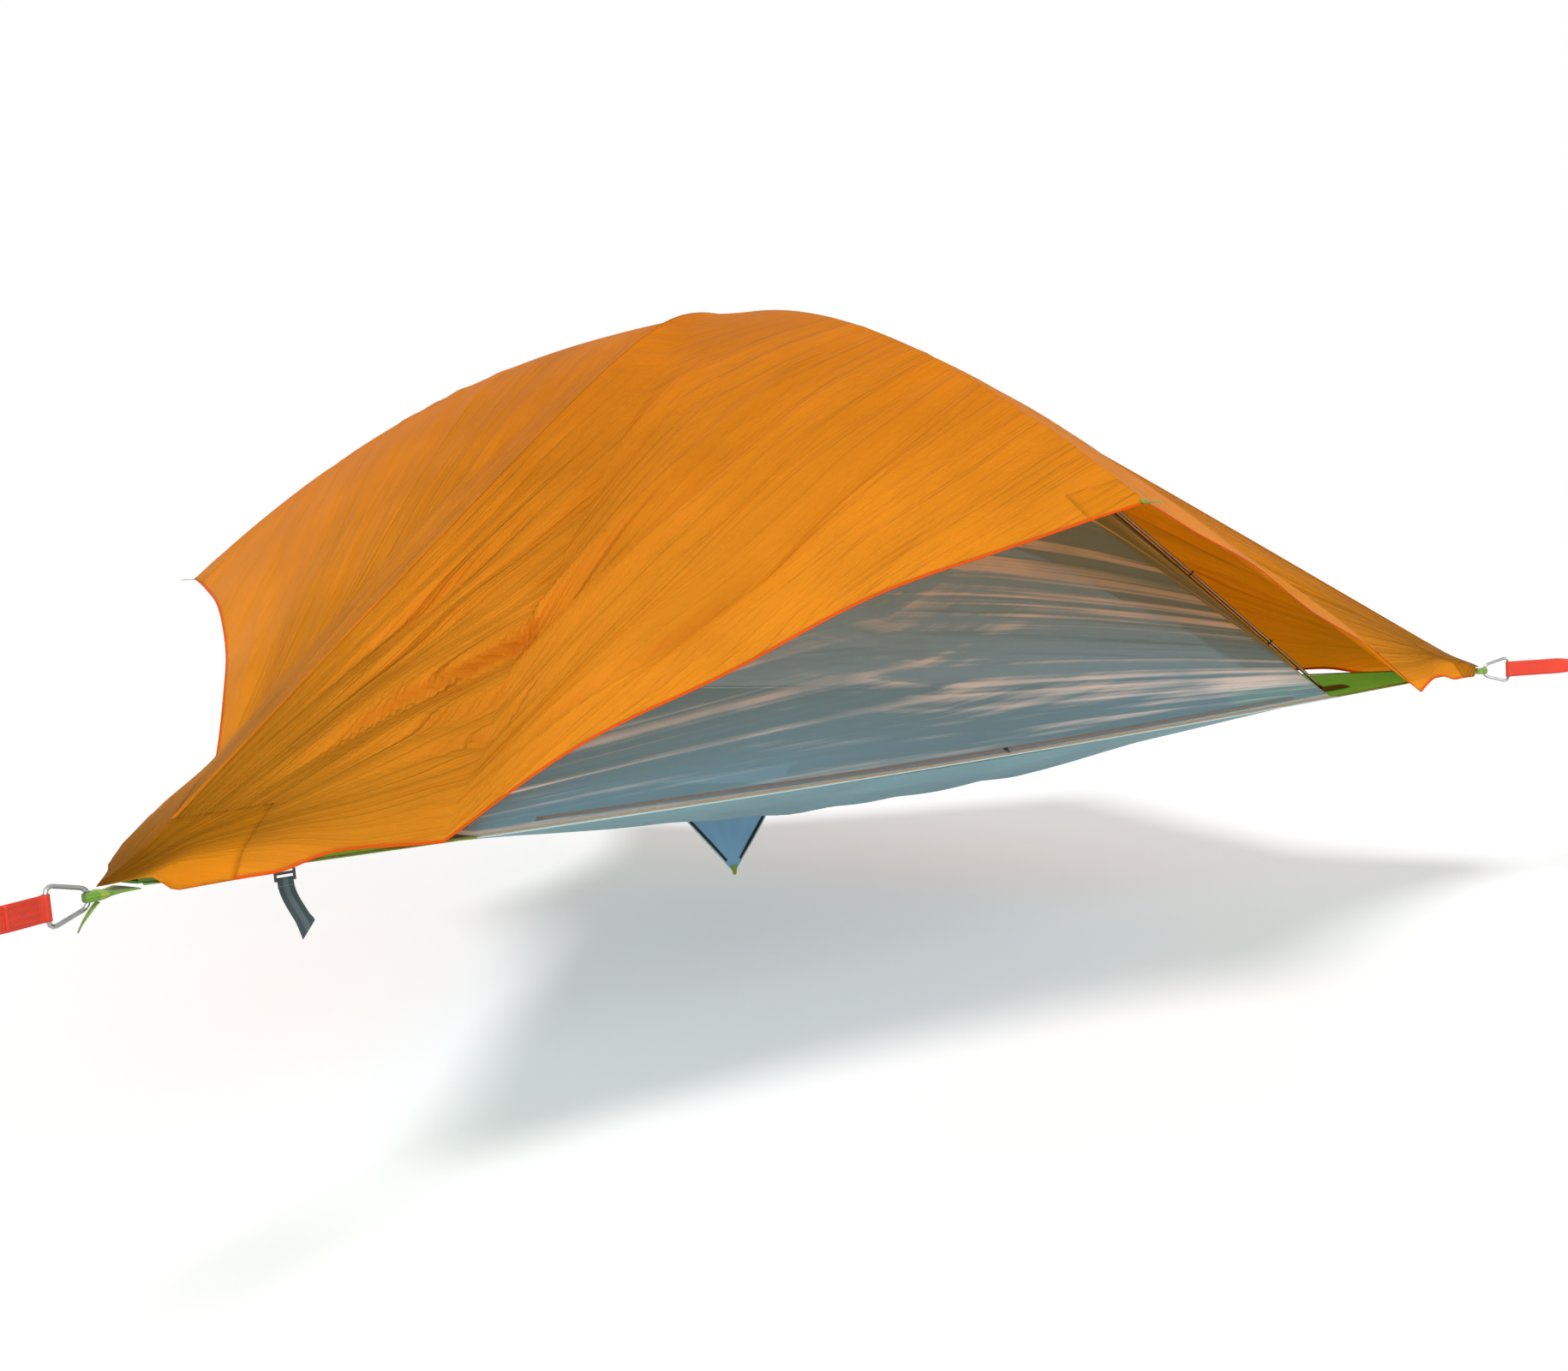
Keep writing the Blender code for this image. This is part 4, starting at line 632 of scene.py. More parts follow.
def along_side(corner, distance, inset=0.0, lift=0.0):
    """Points over the straight side after a corner, at distances from its ring, moved in by an inset."""
    start, end = RINGS[corner], RINGS[(corner + 1) % 3]
    spots = start + (end - start) * np.asarray(distance, float)[..., None] / SIDE
    spots = spots + side_inward(corner, 1) * inset
    spots[..., 2] = hammock(spots) + lift
    return spots


def net_foot_line(corner, columns):
    """The lower edge of a wall: from one pole arm straight to the floor's seam, along the side of
    the floor, and straight to the next pole arm.
    """
    inset = WEBBING_WIDTH / 2 + NET_LIFT
    step = np.linspace(0, 1, columns)
    end = 0.125
    near, far = along_side(corner, [CORNER_CUT, SIDE - CORNER_CUT], inset, NET_LIFT)
    height = arm_height(NET_FOOT) - NET_HANG
    first = ring_spot(BEARINGS[corner], NET_FOOT, height)
    last = ring_spot(BEARINGS[(corner + 1) % 3], NET_FOOT, height)
    share = np.clip((step - end) / (1 - 2 * end), 0, 1)
    line = along_side(corner, CORNER_CUT + (SIDE - 2 * CORNER_CUT) * share, inset, NET_LIFT)
    line = np.where((step < end)[:, None], first + (near - first) * (step / end)[:, None], line)
    return np.where((step > 1 - end)[:, None], last + (far - last) * ((1 - step) / end)[:, None], line)


def net_wall(corner, rows, columns):
    """A wall as rows from the hub to the foot line, whose plan is scaled by the row's share.

    Between the arms the height goes from the arm's curve to a nearly straight fall, with a share
    that is the distance from the arm to the power of the tautness.
    """
    line = net_foot_line(corner, columns)
    eye = NET_EYE / NET_FOOT
    share = (eye + (1 - eye) * np.linspace(0, 1, rows))[:, None]
    lateral = np.abs(np.linspace(-1, 1, columns))[None]
    low = arm_height(NET_FOOT)
    arm = (arm_height(NET_FOOT * share) - low) / (ARM_TOP - low)
    flat = (1 - share) * (1 - NET_DRAW_IN * share)
    blend = (1 - lateral) ** NET_TAUTNESS
    grid = np.empty((rows, columns, 3))
    grid[..., :2] = line[None, :, :2] * share[..., None]
    grid[..., 2] = line[:, 2] + (ARM_TOP - NET_HANG - line[:, 2]) * (arm + (flat - arm) * blend)
    return grid, share, lateral


def netting(name, grey, pale, cover):
    """Fine netting: see-through, and denser along the streaks where the pull bunches it, where its
    colour is also paler as a painted highlight of the folds.

    The holes of the net are a product of two sines.
    """
    gloss = {"Roughness": 0.5, "Specular IOR Level": 0.25, "Sheen Weight": 0.15, "Sheen Roughness": 0.35}
    look, tree, shader = new_look(name, gloss)
    streak = pull_streaks(tree, 66)
    bunching_and_highlight = ranged(tree, streak, 0.50, 0.61, interpolation_type="SMOOTHSTEP")
    spread = ranged(tree, noise_of(tree, own_place(tree), 2.2, 2), 0.35, 0.65, 0.25, 1.0)
    shown = maths(tree, "MULTIPLY", bunching_and_highlight, spread)
    holes = thread_height(tree, map_parts(tree, "cloth"), 0.0028)
    thin = ranged(tree, holes, -1, 1, cover - 0.12, cover + 0.12)
    alpha = maths(tree, "MULTIPLY_ADD", shown, 0.24, thin, use_clamp=True)
    # Painted highlight: along the streaks the grey goes towards the near-white streak colour.
    colour = colour_mix(tree, shown, grey, pale)
    feed(tree, shader, {"Base Color": colour, "Alpha": alpha, "Normal": bumped(tree, streak, 0.012, 0.6)})
    return look


grey_netting = netting("grey_netting", NET_GREY, NET_STREAK_HIGHLIGHT, NET_COVER)
for corner in range(3):
    grid, share, lateral = net_wall(corner, NET_ROWS, NET_COLUMNS)
    flat = laid_flat(grid)
    pull = pull_angles(grid, corner)
    angle = pull[..., 0] - pull[..., 1]
    wrinkle = np.sin(46 * angle + 3 * np.sin(5 * angle)) * np.sin(9 * angle + 1 + corner)
    height = NET_WRINKLE * wrinkle * smooth_step(share, 0.15, 0.6) * (1 - smooth_step(share, 0.93, 1.0))
    grid = grid + unit_normals(grid) * (height * smooth_step(1 - lateral, 0.0, 0.1))[..., None]
    wall = add_sheet(f"netting_wall_{corner + 1}", grid, grey_netting, flat, NET_THICKNESS)
    add_map(wall, "pull", pull)
    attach(wall, "tent")
    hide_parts(f"mesh_wall_{corner + 1}")


# ---------------------------------------------------------------- Floor
# The hammock floor: one panel of strong teal polyester with a three-cornered hatch opening in
# the middle, and a bowed seam at each corner where the green panels are sewn on.
FLOOR_THICKNESS = 0.0015
SEAM_BOW = 0.20
SEAM_GAP = 0.0004
CORNER_HALF = math.radians(30)
HATCH_MIDDLE = -0.07
HATCH_HINGE = 0.12
HATCH_WIDTH = 0.54
HATCH_LENGTH = 0.34
FLOOR_ROWS = 46
FLOOR_ROW_POWER = 1.5  # rows lie closer at the seams
FLOOR_RIPPLE = 0.004
# Painted shade by height: the teal is darker where the floor sinks low and paler towards its raised edges.
TEAL_LOW_SHADED = (0.210, 0.400, 0.470)
TEAL_HIGH_LIT = (0.300, 0.520, 0.570)


def corner_spots(corner, distance, lateral):
    """Points of a corner at a distance from the ring along the rims, from one rim (-1) to the other (1)."""
    ring = RINGS[corner]
    inward = -ring / RING_RADIUS
    across = np.array([-inward[1], inward[0], 0.0])
    inset = WEBBING_WIDTH / 2 + SEAM_GAP
    half = distance * math.sin(CORNER_HALF) - inset / math.cos(CORNER_HALF)
    back = inward * (distance * math.cos(CORNER_HALF))[..., None]
    return ring + back + across * (half * lateral)[..., None]


def seam_distance(lateral):
    """The bowed seam between the floor and a corner: its distance from the ring, by a parabola."""
    return CORNER_CUT + SEAM_BOW * (1 - lateral**2)


def floor_outline():
    """The outer edge of the floor: each corner's seam from one rim to the other, one after the other."""
    lateral = np.linspace(1, -1, 41)
    seams = [corner_spots(corner, seam_distance(lateral), lateral) for corner in range(3)]
    return np.concatenate(seams)[:, :2]


def ray_reach(start, angles, outline):
    """How far rays at these angles run from a point to a closed outline of straight pieces."""
    ahead = np.stack([np.cos(angles), np.sin(angles)], -1)[:, None]
    side = (np.roll(outline, -1, axis=0) - outline)[None]
    gap = (outline - start)[None]
    turn = ahead[..., 0] * side[..., 1] - ahead[..., 1] * side[..., 0]
    turn = np.where(np.abs(turn) < 1e-12, 1e-12, turn)
    run = (gap[..., 0] * side[..., 1] - gap[..., 1] * side[..., 0]) / turn
    share = (gap[..., 0] * ahead[..., 1] - gap[..., 1] * ahead[..., 0]) / turn
    hit = (run > 0) & (share >= -1e-9) & (share <= 1 + 1e-9)
    return np.where(hit, run, 0).max(axis=1)


hatch_corners = np.array([(HATCH_MIDDLE, HATCH_HINGE)] * 3)
hatch_corners += [(-HATCH_WIDTH / 2, 0), (0, -HATCH_LENGTH), (HATCH_WIDTH / 2, 0)]
outline = floor_outline()
eye = np.array([HATCH_MIDDLE, HATCH_HINGE - HATCH_LENGTH / 3])
angles = np.linspace(0, math.tau, 180, endpoint=False)
for spots in (outline, hatch_corners):
    angles = np.append(angles, np.arctan2(spots[:, 1] - eye[1], spots[:, 0] - eye[0]) % math.tau)
angles = np.unique(np.round(angles, 6))
near = ray_reach(eye, angles, hatch_corners)
far = ray_reach(eye, angles, outline)
share = (1 - (1 - np.linspace(0, 1, FLOOR_ROWS)) ** FLOOR_ROW_POWER)[:, None]
run = near + (far - near) * share
floor_grid = np.empty((*run.shape, 3))
floor_grid[..., 0] = eye[0] + run * np.cos(angles)
floor_grid[..., 1] = eye[1] + run * np.sin(angles)
floor_grid[..., 2] = hammock(floor_grid)
ripple = np.sin(7 * angles + 2 * np.sin(3 * angles)) * np.sin(17 * angles + 1.0)
floor_grid[..., 2] += FLOOR_RIPPLE * ripple * smooth_step(share, 0.1, 0.5) * (1 - smooth_step(share, 0.8, 1))

teal_cloth = tent_cloth(
    "teal_cloth", TEAL_LOW_SHADED, TEAL_HIGH_LIT, (-0.16, -0.03), 0.12, rough=0.38, pitch=0.0013, rip_pitch=0.010,
    crease=0.3
)
flat = floor_grid[..., :2]
floor_cloth = add_sheet("floor_cloth", floor_grid, teal_cloth, flat, FLOOR_THICKNESS, closed=True, way=-1)
add_map(floor_cloth, "pull", pull_angles(floor_grid, 0))
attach(floor_cloth, "tent")
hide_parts("floor_panel")


# ---------------------------------------------------------------- Corner panels
# The troughs between the floor and the rings: lime green polyester, sewn to the floor along a
# bowed seam and to the edge webbing along both rims, with pull folds towards the ring.
PANEL_START = 0.085
PANEL_ROWS = 60
PANEL_COLUMNS = 60
PANEL_FOLD = 0.004
# Painted shade by height: the lime is darker low in the troughs and paler up towards the rings.
LIME_LOW_SHADED = (0.150, 0.720, 0.020)
LIME_HIGH_LIT = (0.360, 0.760, 0.080)
LIME_THROUGH = (0.500, 1.000, 0.350)
lime_cloth = tent_cloth(
    "lime_cloth", LIME_LOW_SHADED, LIME_HIGH_LIT, (-0.12, 0.0), 0.45, LIME_THROUGH, rough=0.4, pitch=0.0012,
    rip_pitch=0.009, crease=0.3
)
for corner in range(3):
    lateral = np.sin(np.linspace(-1, 1, PANEL_COLUMNS) * math.pi / 2)[None]
    share = np.linspace(0, 1, PANEL_ROWS)[:, None]
    seam = seam_distance(lateral) - SEAM_GAP
    distance = seam + (PANEL_START - seam) * share
    grid = corner_spots(corner, distance, lateral + 0 * share)
    grid[..., 2] = hammock(grid)
    pulls = np.cos(9 * lateral + 2 * corner) * np.sin(23 * lateral) * (1 - lateral**2)
    grid[..., 2] -= PANEL_FOLD * np.abs(pulls) * smooth_step(share, 0, 0.3) * (1 - share)
    flat = np.stack([distance * lateral * math.sin(CORNER_HALF), -distance], axis=-1)
    panel = add_sheet(f"corner_cloth_{corner + 1}", grid, lime_cloth, flat, FLOOR_THICKNESS, way=-1)
    add_map(panel, "pull", pull_angles(grid, corner))
    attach(panel, "tent")
    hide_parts(f"corner_panel_{corner + 1}")


# ---------------------------------------------------------------- Edge webbing and binding
# A 25 mm lime webbing runs from ring to ring along each side. Between the corner seams a pale
# binding tape is folded over it, which also holds the edges of the floor and of the netting.
EDGE_START = 0.085
WEBBING_THICKNESS = 0.002
TAPE_THICKNESS = 0.0007
TAPE_CLEAR = 0.0006
STITCH_HEIGHT = 0.0005
LIME_WEB = (0.200, 0.420, 0.045)
BINDING = (0.600, 0.900, 0.960)
STITCH_PALE = (0.620, 0.680, 0.620)


def band_along(path, across, offsets, lifts=None, up=(0, 0, 1)):
    """A band as a grid: at each point of a path, points at these offsets along the width direction
    and these lifts along up.
    """
    path = np.asarray(path, float)
    across = np.broadcast_to(across, path.shape)
    up = np.broadcast_to(up, path.shape)
    lifts = np.zeros(len(offsets)) if lifts is None else np.asarray(lifts, float)
    offsets = np.asarray(offsets, float)
    return path[:, None] + across[:, None] * offsets[None, :, None] + up[:, None] * lifts[None, :, None]


def run_lengths(path):
    """The distance run along a path up to each of its points."""
    steps = np.linalg.norm(np.diff(path, axis=0), axis=-1)
    return np.concatenate([[0], np.cumsum(steps)])


def band_map(path, offsets, lifts=None):
    """The rolled-out place of a band's points: the way across its section, and the run of its path."""
    section = np.stack([offsets, np.zeros(len(offsets)) if lifts is None else lifts], axis=-1)
    across = run_lengths(section)
    across = across - across[-1] / 2
    return np.stack(np.meshgrid(across, run_lengths(path)), axis=-1)


def add_band(name, path, across, offsets, look, thickness=None, lifts=None, up=(0, 0, 1), way=1):
    """A band along a path as a piece."""
    grid = band_along(path, across, offsets, lifts, up)
    return add_sheet(name, grid, look, band_map(path, offsets, lifts), thickness, way=way)


def webbing(name, colour, pitch=0.0030, rough=0.55, dark=0.55):
    """Woven webbing: rows of slanting ribs that change direction at the middle and the edges, as
    bumps, with painted shade darkening the gaps between the ribs and a painted highlight on their
    crowns, and a slight cloud in the dye.
    """
    look, tree, shader = new_look(name, {"Roughness": rough, "Specular IOR Level": 0.3, "Sheen Weight": 0.2})
    flat = map_parts(tree, "cloth")
    slant = maths(tree, "ADD", maths(tree, "PINGPONG", flat[0], 0.006), flat[1])
    ribs = maths(tree, "SINE", maths(tree, "MULTIPLY", slant, math.tau / pitch))
    # Painted shade and highlight: the colour runs from the darker gap colour between the ribs to the paler
    # colour on their crowns, with a random cloud mixed in.
    lit = ranged(tree, ribs, -1, 1, 0.25, 0.75)
    rib_light_and_cloud = maths(tree, "MULTIPLY_ADD", noise_of(tree, own_place(tree), 16, 5), 0.5, lit)
    gap = tuple(c * dark for c in colour)
    worn_edges_and_lit_ribs = tuple(min(c * 1.12 + 0.01, 1) for c in colour)
    raised = bumped(tree, ribs, 0.0005, 0.6)
    feed(tree, shader, {"Base Color": colour_mix(tree, rib_light_and_cloud, gap, worn_edges_and_lit_ribs), "Normal": raised})
    return look


def thread(name, colour):
    """Sewing thread: a twisted yarn, seen as fine slanting bands whose darker parts are painted shade
    between the plies.
    """
    look, tree, shader = new_look(name, {"Roughness": 0.5, "Sheen Weight": 0.2})
    bands = {"Vector": own_place(tree), "Scale": 420, "Distortion": 0.6}
    twist = node_of(tree, "TexWave", bands, bands_direction="DIAGONAL")[1]
    # Painted shade: the darker bands stand for the shade between the twisted plies.
    feed(tree, shader, {"Base Color": colour_mix(tree, twist, tuple(c * 0.7 for c in colour), colour)})
    return look


def stitch_row(path, up, pitch=0.0052, length=0.0036, width=0.0007):
    """Stitches along a path: each is a small stretched double pyramid, a pitch apart."""
    path = np.asarray(path, float)
    up = np.broadcast_to(up, path.shape)
    run = run_lengths(path)
    count = max(int(run[-1] / pitch), 1)
    places = (np.arange(count) + 0.5) * run[-1] / count

    def at(distance, values):
        return np.stack([np.interp(distance, run, values[:, k]) for k in range(3)], axis=-1)

    middle = at(places, path)
    ahead = at(np.minimum(places + length / 2, run[-1]), path)
    behind = at(np.maximum(places - length / 2, 0), path)
    square = unit(at(places, up))
    side = np.cross(square, unit(ahead - behind)) * width / 2
    rise = square * STITCH_HEIGHT
    points = [behind, ahead, middle + side, middle - side, middle + rise, middle - rise / 2]
    tri = np.array([(0, 3, 4), (3, 1, 4), (1, 2, 4), (2, 0, 4), (3, 0, 5), (1, 3, 5), (2, 1, 5), (0, 2, 5)])
    faces = (np.arange(count)[:, None, None] * 6 + tri[None]).reshape(-1, 3)
    return np.stack(points, axis=1).reshape(-1, 3), faces


def joined(*parts):
    """Several (points, faces) as one."""
    points = np.concatenate([p for p, _ in parts])
    starts = np.cumsum([0] + [len(p) for p, _ in parts[:-1]])
    return points, np.concatenate([f + start for start, (_, f) in zip(starts, parts)])


lime_webbing = webbing("lime_webbing", LIME_WEB)
binding_tape = webbing("binding_tape", BINDING, pitch=0.0016, dark=0.85)
pale_thread = thread("pale_thread", STITCH_PALE)
for corner in range(3):
    outward = -side_inward(corner, 1)
    half = WEBBING_WIDTH / 2
    path = along_side(corner, np.linspace(EDGE_START, SIDE - EDGE_START, 240))
    offsets = np.linspace(-half, half, 7)
    web = add_band(f"edge_band_{corner + 1}", path, outward, offsets, lime_webbing, WEBBING_THICKNESS)
    clear = WEBBING_THICKNESS / 2 + TAPE_CLEAR
    turn = np.linspace(0, math.pi, 7)
    under = [-half + 0.002]
    offsets = [[-half - 0.003], np.linspace(-half, half - 0.002, 5), half + clear * np.sin(turn), under]
    offsets = np.concatenate(offsets)
    lifts = np.concatenate([np.full(6, clear), clear * np.cos(turn), [-clear]])
    path = along_side(corner, np.linspace(CORNER_CUT + 0.004, SIDE - CORNER_CUT - 0.004, 200))
    name = f"edge_binding_{corner + 1}"
    tape = add_band(name, path, outward, offsets, binding_tape, TAPE_THICKNESS, lifts, way=-1)
    top = path + (0, 0, clear + TAPE_THICKNESS / 2)
    rows = [stitch_row(top + outward * inset, (0, 0, 1)) for inset in (-half + 0.0005, half - 0.004)]
    seam = add_piece(f"edge_stitches_{corner + 1}", *joined(*rows), pale_thread)
    for piece, slot in ((web, "lime_webbing"), (tape, "floor_fabric"), (seam, "floor_fabric")):
        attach(piece, "tent")
    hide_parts(f"edge_webbing_{corner + 1}")


# ---------------------------------------------------------------- Ridge tapes, clips and hems
# Over each ridge of the netting lies a grey tape, hung from the pole arm by black clips. A pale
# hem of doubled netting ends each wall at the floor.
TAPE_WIDTH = 0.020
RIDGE_THICKNESS = 0.0008
RIDGE_LIFT = 0.0012
RIDGE_SAG = 0.004  # the tape's edges hang down on both sides of the ridge
CLIP_PITCH = 0.24
CLIP_RADIUS = 0.0082
CLIP_WIRE = 0.0018
HEM_HEIGHT = 0.012
HEM_HALF = 0.0012
RIDGE_GREY = (0.130, 0.140, 0.145)
HEM_PALE = (0.480, 0.640, 0.680)
CLIP_BLACK = (0.018, 0.018, 0.019)


def capped(grid, ends, way=1):
    """A tube from rings of points, with a fan to its end point at each end. A way of -1 turns it over."""
    rows, sides = grid.shape[:2]
    first = np.arange(sides)
    faces = [grid_faces(rows, sides, closed=True)[:, ::way]]
    for number, ring, turn in ((0, first, way), (1, first + (rows - 1) * sides, -way)):
        pair = np.stack([ring, np.roll(ring, -1)], axis=-1)[:, ::turn]
        faces.append(np.append(pair, np.full((sides, 2), rows * sides + number), axis=1))
    return np.concatenate([grid.reshape(-1, 3), ends]), np.concatenate(faces)


def tube_points(path, radius, sides):
    """A round bar along a path: a ring of points across it at each point, carried along without twist."""
    path = np.asarray(path, float)
    radius = np.broadcast_to(np.asarray(radius, float), (len(path),))
    along = unit(np.gradient(path, axis=0))
    across = np.empty_like(path)
    start = np.cross(along[0], (0.31, 0.87, 0.39))
    for i, ahead in enumerate(along):
        start = start - ahead * np.dot(start, ahead)
        start = start / np.linalg.norm(start)
        across[i] = start
    square = np.cross(along, across)
    angle = np.linspace(0, math.tau, sides, endpoint=False)
    ring = np.cos(angle)[None, :, None] * across[:, None] + np.sin(angle)[None, :, None] * square[:, None]
    return capped(path[:, None] + ring * radius[:, None, None], path[[0, -1]], way=-1)


def moulded(name, colour, rough=0.38, metal=0.0, grain=60.0, bump=0.15):
    """Moulded plastic or cast metal: a fine grain, a little dust in it and a slightly uneven gloss."""
    look, tree, shader = new_look(name, {"Metallic": metal})
    fine = noise_of(tree, own_place(tree), grain, 8)
    clean = tuple(c * 0.85 for c in colour)
    dusty = tuple(min(c * 1.25 + 0.004, 1) for c in colour)
    gloss = ranged(tree, fine, 0, 1, rough - 0.08, rough + 0.12)
    surface = {"Base Color": colour_mix(tree, fine, clean, dusty), "Roughness": gloss}
    feed(tree, shader, {**surface, "Normal": bumped(tree, fine, 0.0004, bump)})
    return look


ridge_tape = webbing("ridge_tape", RIDGE_GREY, pitch=0.0018)
hem_tape = webbing("hem_tape", HEM_PALE, pitch=0.0016, dark=0.8)
clip_black = moulded("clip_black", CLIP_BLACK)
net_feet = []
for corner in range(3):
    bearing = BEARINGS[corner]
    across = ring_spot(bearing + 90, 1.0)
    radius = np.linspace(0.05, NET_FOOT, 160)
    path = ring_spot(bearing, radius, arm_height(radius) - NET_HANG + RIDGE_LIFT)
    offsets = np.linspace(-1, 1, 5) * TAPE_WIDTH / 2
    lifts = -RIDGE_SAG * (offsets / offsets[-1]) ** 2
    grid = band_along(path, across, offsets, lifts)
    flat = band_map(path, offsets)
    tape = add_sheet(f"ridge_tape_{corner + 1}", grid, ridge_tape, flat, RIDGE_THICKNESS)
    clips = []
    places = np.arange(0.20, NET_FOOT - 0.05, CLIP_PITCH)
    slope = (arm_height(places + 0.01) - arm_height(places - 0.01)) / 0.02
    for place, lean in zip(places, slope):
        ahead = ring_spot(bearing, 1.0, lean)
        ahead /= np.linalg.norm(ahead)
        square = np.cross(ahead, across)
        centre = ring_spot(bearing, place, arm_height(place))
        turn = np.radians(np.linspace(-250, 70, 22))
        hook = centre + CLIP_RADIUS * (np.cos(turn)[:, None] * across + np.sin(turn)[:, None] * square)
        stem = hook[0] + (centre - square * (NET_HANG - 0.002) - hook[0]) * np.linspace(0, 1, 4)[1:, None]
        clips.append(tube_points(np.concatenate([stem[::-1], hook]), CLIP_WIRE, 8))
    hooks = add_piece(f"pole_clips_{corner + 1}", *joined(*clips), clip_black)
    grid, share, lateral = net_wall(corner, NET_ROWS, NET_COLUMNS)
    foot = grid[-1]
    upwards = unit(grid[-3] - grid[-1])
    square = unit_normals(grid)[-1]
    net_feet.append((foot, upwards, square))
    turn = np.linspace(0, math.tau, 13)
    rise = HEM_HEIGHT * (0.5 - 0.5 * np.cos(turn))
    bulge = HEM_HALF * np.sin(turn)
    hem = add_band(f"netting_hem_{corner + 1}", foot, upwards, rise, hem_tape, lifts=bulge, up=square)
    for piece, slot in ((tape, "netting"), (hooks, "black_plastic"), (hem, "netting")):
        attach(piece, "tent")


# ---------------------------------------------------------------- Hatch
# The hatch cover hangs open from its far edge: a blue-grey cloth with a pale bound edge, half of
# a black zip along each side and a lime pull tab at the tip. The other halves edge the opening.
HATCH_MARGIN = 0.004
HINGE_GAP = 0.0015
FLAP_FOLD = 0.012
FLAP_THICKNESS = 0.0012
TAB_LENGTH = 0.032
TAB_HALF = 0.006
TAB_DEPTH = 0.0011
TAB_STAND = 0.0026
ZIP_WIDTH = 0.013
ZIP_THICKNESS = 0.0005
ZIP_INSET = 0.0042
PIPING_INSET = 0.0016
PIPING_HALF = 0.0022
PIPING_RISE = 0.0012
# Painted shade by height: the cover is paler near its hinge and darker towards its hanging tip.
SLATE_LOW_SHADED = (0.320, 0.600, 0.820)
SLATE_HIGH_LIT = (0.420, 0.720, 0.860)
ZIP_BLACK = (0.016, 0.018, 0.020)
TAB_LIME = (0.330, 0.500, 0.060)


def flap_spots(share, lateral):
    """Points of the hanging cover: its half width shrinks evenly to the tip, and its folds are sine
    waves across it that fade out at the hinge and at the tab.
    """
    share = share * (1 - HATCH_MARGIN / HATCH_WIDTH)
    free = np.maximum(1 - 1.5 * TAB_LENGTH / HATCH_LENGTH - share, 0)
    half = (HATCH_WIDTH / 2 - 3 * HATCH_MARGIN) * (1 - share) + HATCH_MARGIN
    fold = FLAP_FOLD * share * free * 3 * np.sin(2.2 * math.pi * lateral + 4 * share)
    fold = fold + 0.003 * share * free * 4 * np.sin(9 * lateral - 7 * share)
    down = hinge_height - HINGE_GAP - (HATCH_LENGTH - 3 * HATCH_MARGIN) * share
    return spots_of(HATCH_MIDDLE + half * lateral, HATCH_HINGE + fold, down)


def rounded(wave, power):
    """A sine or cosine drawn out towards 1 and -1, which makes a circle a rounded box."""
    return np.sign(wave) * np.abs(wave) ** power


def zip_tape(name, colour):
    """Zip tape: dark woven tape with a row of coil teeth along its middle."""
    look = webbing(name, colour, pitch=0.0012, rough=0.6)
    tree = look.node_tree
    flat = map_parts(tree, "cloth")
    tooth = maths(tree, "SINE", maths(tree, "MULTIPLY", flat[1], math.tau / 0.0024))
    tooth = maths(tree, "MULTIPLY_ADD", tooth, 0.5, 0.5)
    middle = maths(tree, "LESS_THAN", maths(tree, "ABSOLUTE", flat[0]), 0.0022)
    coil = maths(tree, "MULTIPLY", tooth, middle)
    feed(tree, tree.nodes["Principled BSDF"], {"Normal": bumped(tree, coil, 0.0009, 0.9)})
    return look


hinge_height = float(hammock(np.array([HATCH_MIDDLE, HATCH_HINGE])))
slate_cloth = tent_cloth(
    "slate_cloth", SLATE_LOW_SHADED, SLATE_HIGH_LIT, (-0.40, -0.17), 0.22, rough=0.36, pitch=0.0012, rip_pitch=0.009,
    crease=0.35
)
zip_black = zip_tape("zip_black", ZIP_BLACK)
tab_webbing = webbing("tab_webbing", TAB_LIME, pitch=0.0022)
share = np.linspace(0, 1, 70)[:, None]
lateral = np.linspace(-1, 1, 90)[None]
grid = flap_spots(share, lateral)
flap = add_sheet("hatch_cover", grid, slate_cloth, grid[..., [0, 2]], FLAP_THICKNESS)
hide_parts("hatch_flap")
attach(flap, "flap")
pieces = []
for side, name in ((-1, "left"), (1, "right")):
    run = np.linspace(0.03, 0.90, 90)
    edge = flap_spots(run, np.full(90, side * 1.0))
    square = np.array([0.0, -1.0, 0.0])
    inwards = np.cross(unit(np.gradient(edge, axis=0)), square) * side
    offsets = np.linspace(ZIP_INSET, ZIP_WIDTH, 5)
    front = FLAP_THICKNESS / 2 + ZIP_THICKNESS / 2 + 0.0003
    inner = flap_spots(run, side * (1 - offsets[-1] / np.maximum(HATCH_WIDTH / 2 * (1 - run), 0.02)))
    lean = (inner - edge)[:, 1] / offsets[-1]
    band = band_along(edge + square * front, inwards, offsets)
    band[..., 1] += lean[:, None] * np.maximum(offsets, 0)
    flat = band_map(edge, offsets)
    zip_half = add_sheet(f"cover_zip_{name}", band, zip_black, flat, ZIP_THICKNESS, way=-side)
    turn = np.linspace(0, math.tau, 11)
    path = edge + inwards * PIPING_INSET
    points = band_along(path, inwards, PIPING_HALF * np.cos(turn), PIPING_RISE * np.sin(turn), square)
    piping = add_sheet(f"cover_piping_{name}", points, binding_tape, band_map(edge, turn * 0.002))
    pieces += [zip_half, piping]
rise = np.linspace(0, 1, 12)[:, None]
turn = np.linspace(0, math.tau, 17)[None]
aside = (TAB_HALF + TAB_HALF * rise) * rounded(np.cos(turn), 0.35)
forth = HATCH_HINGE - TAB_STAND + TAB_DEPTH * np.sin(turn) - 0.0004 * np.sin(np.pi * rise)
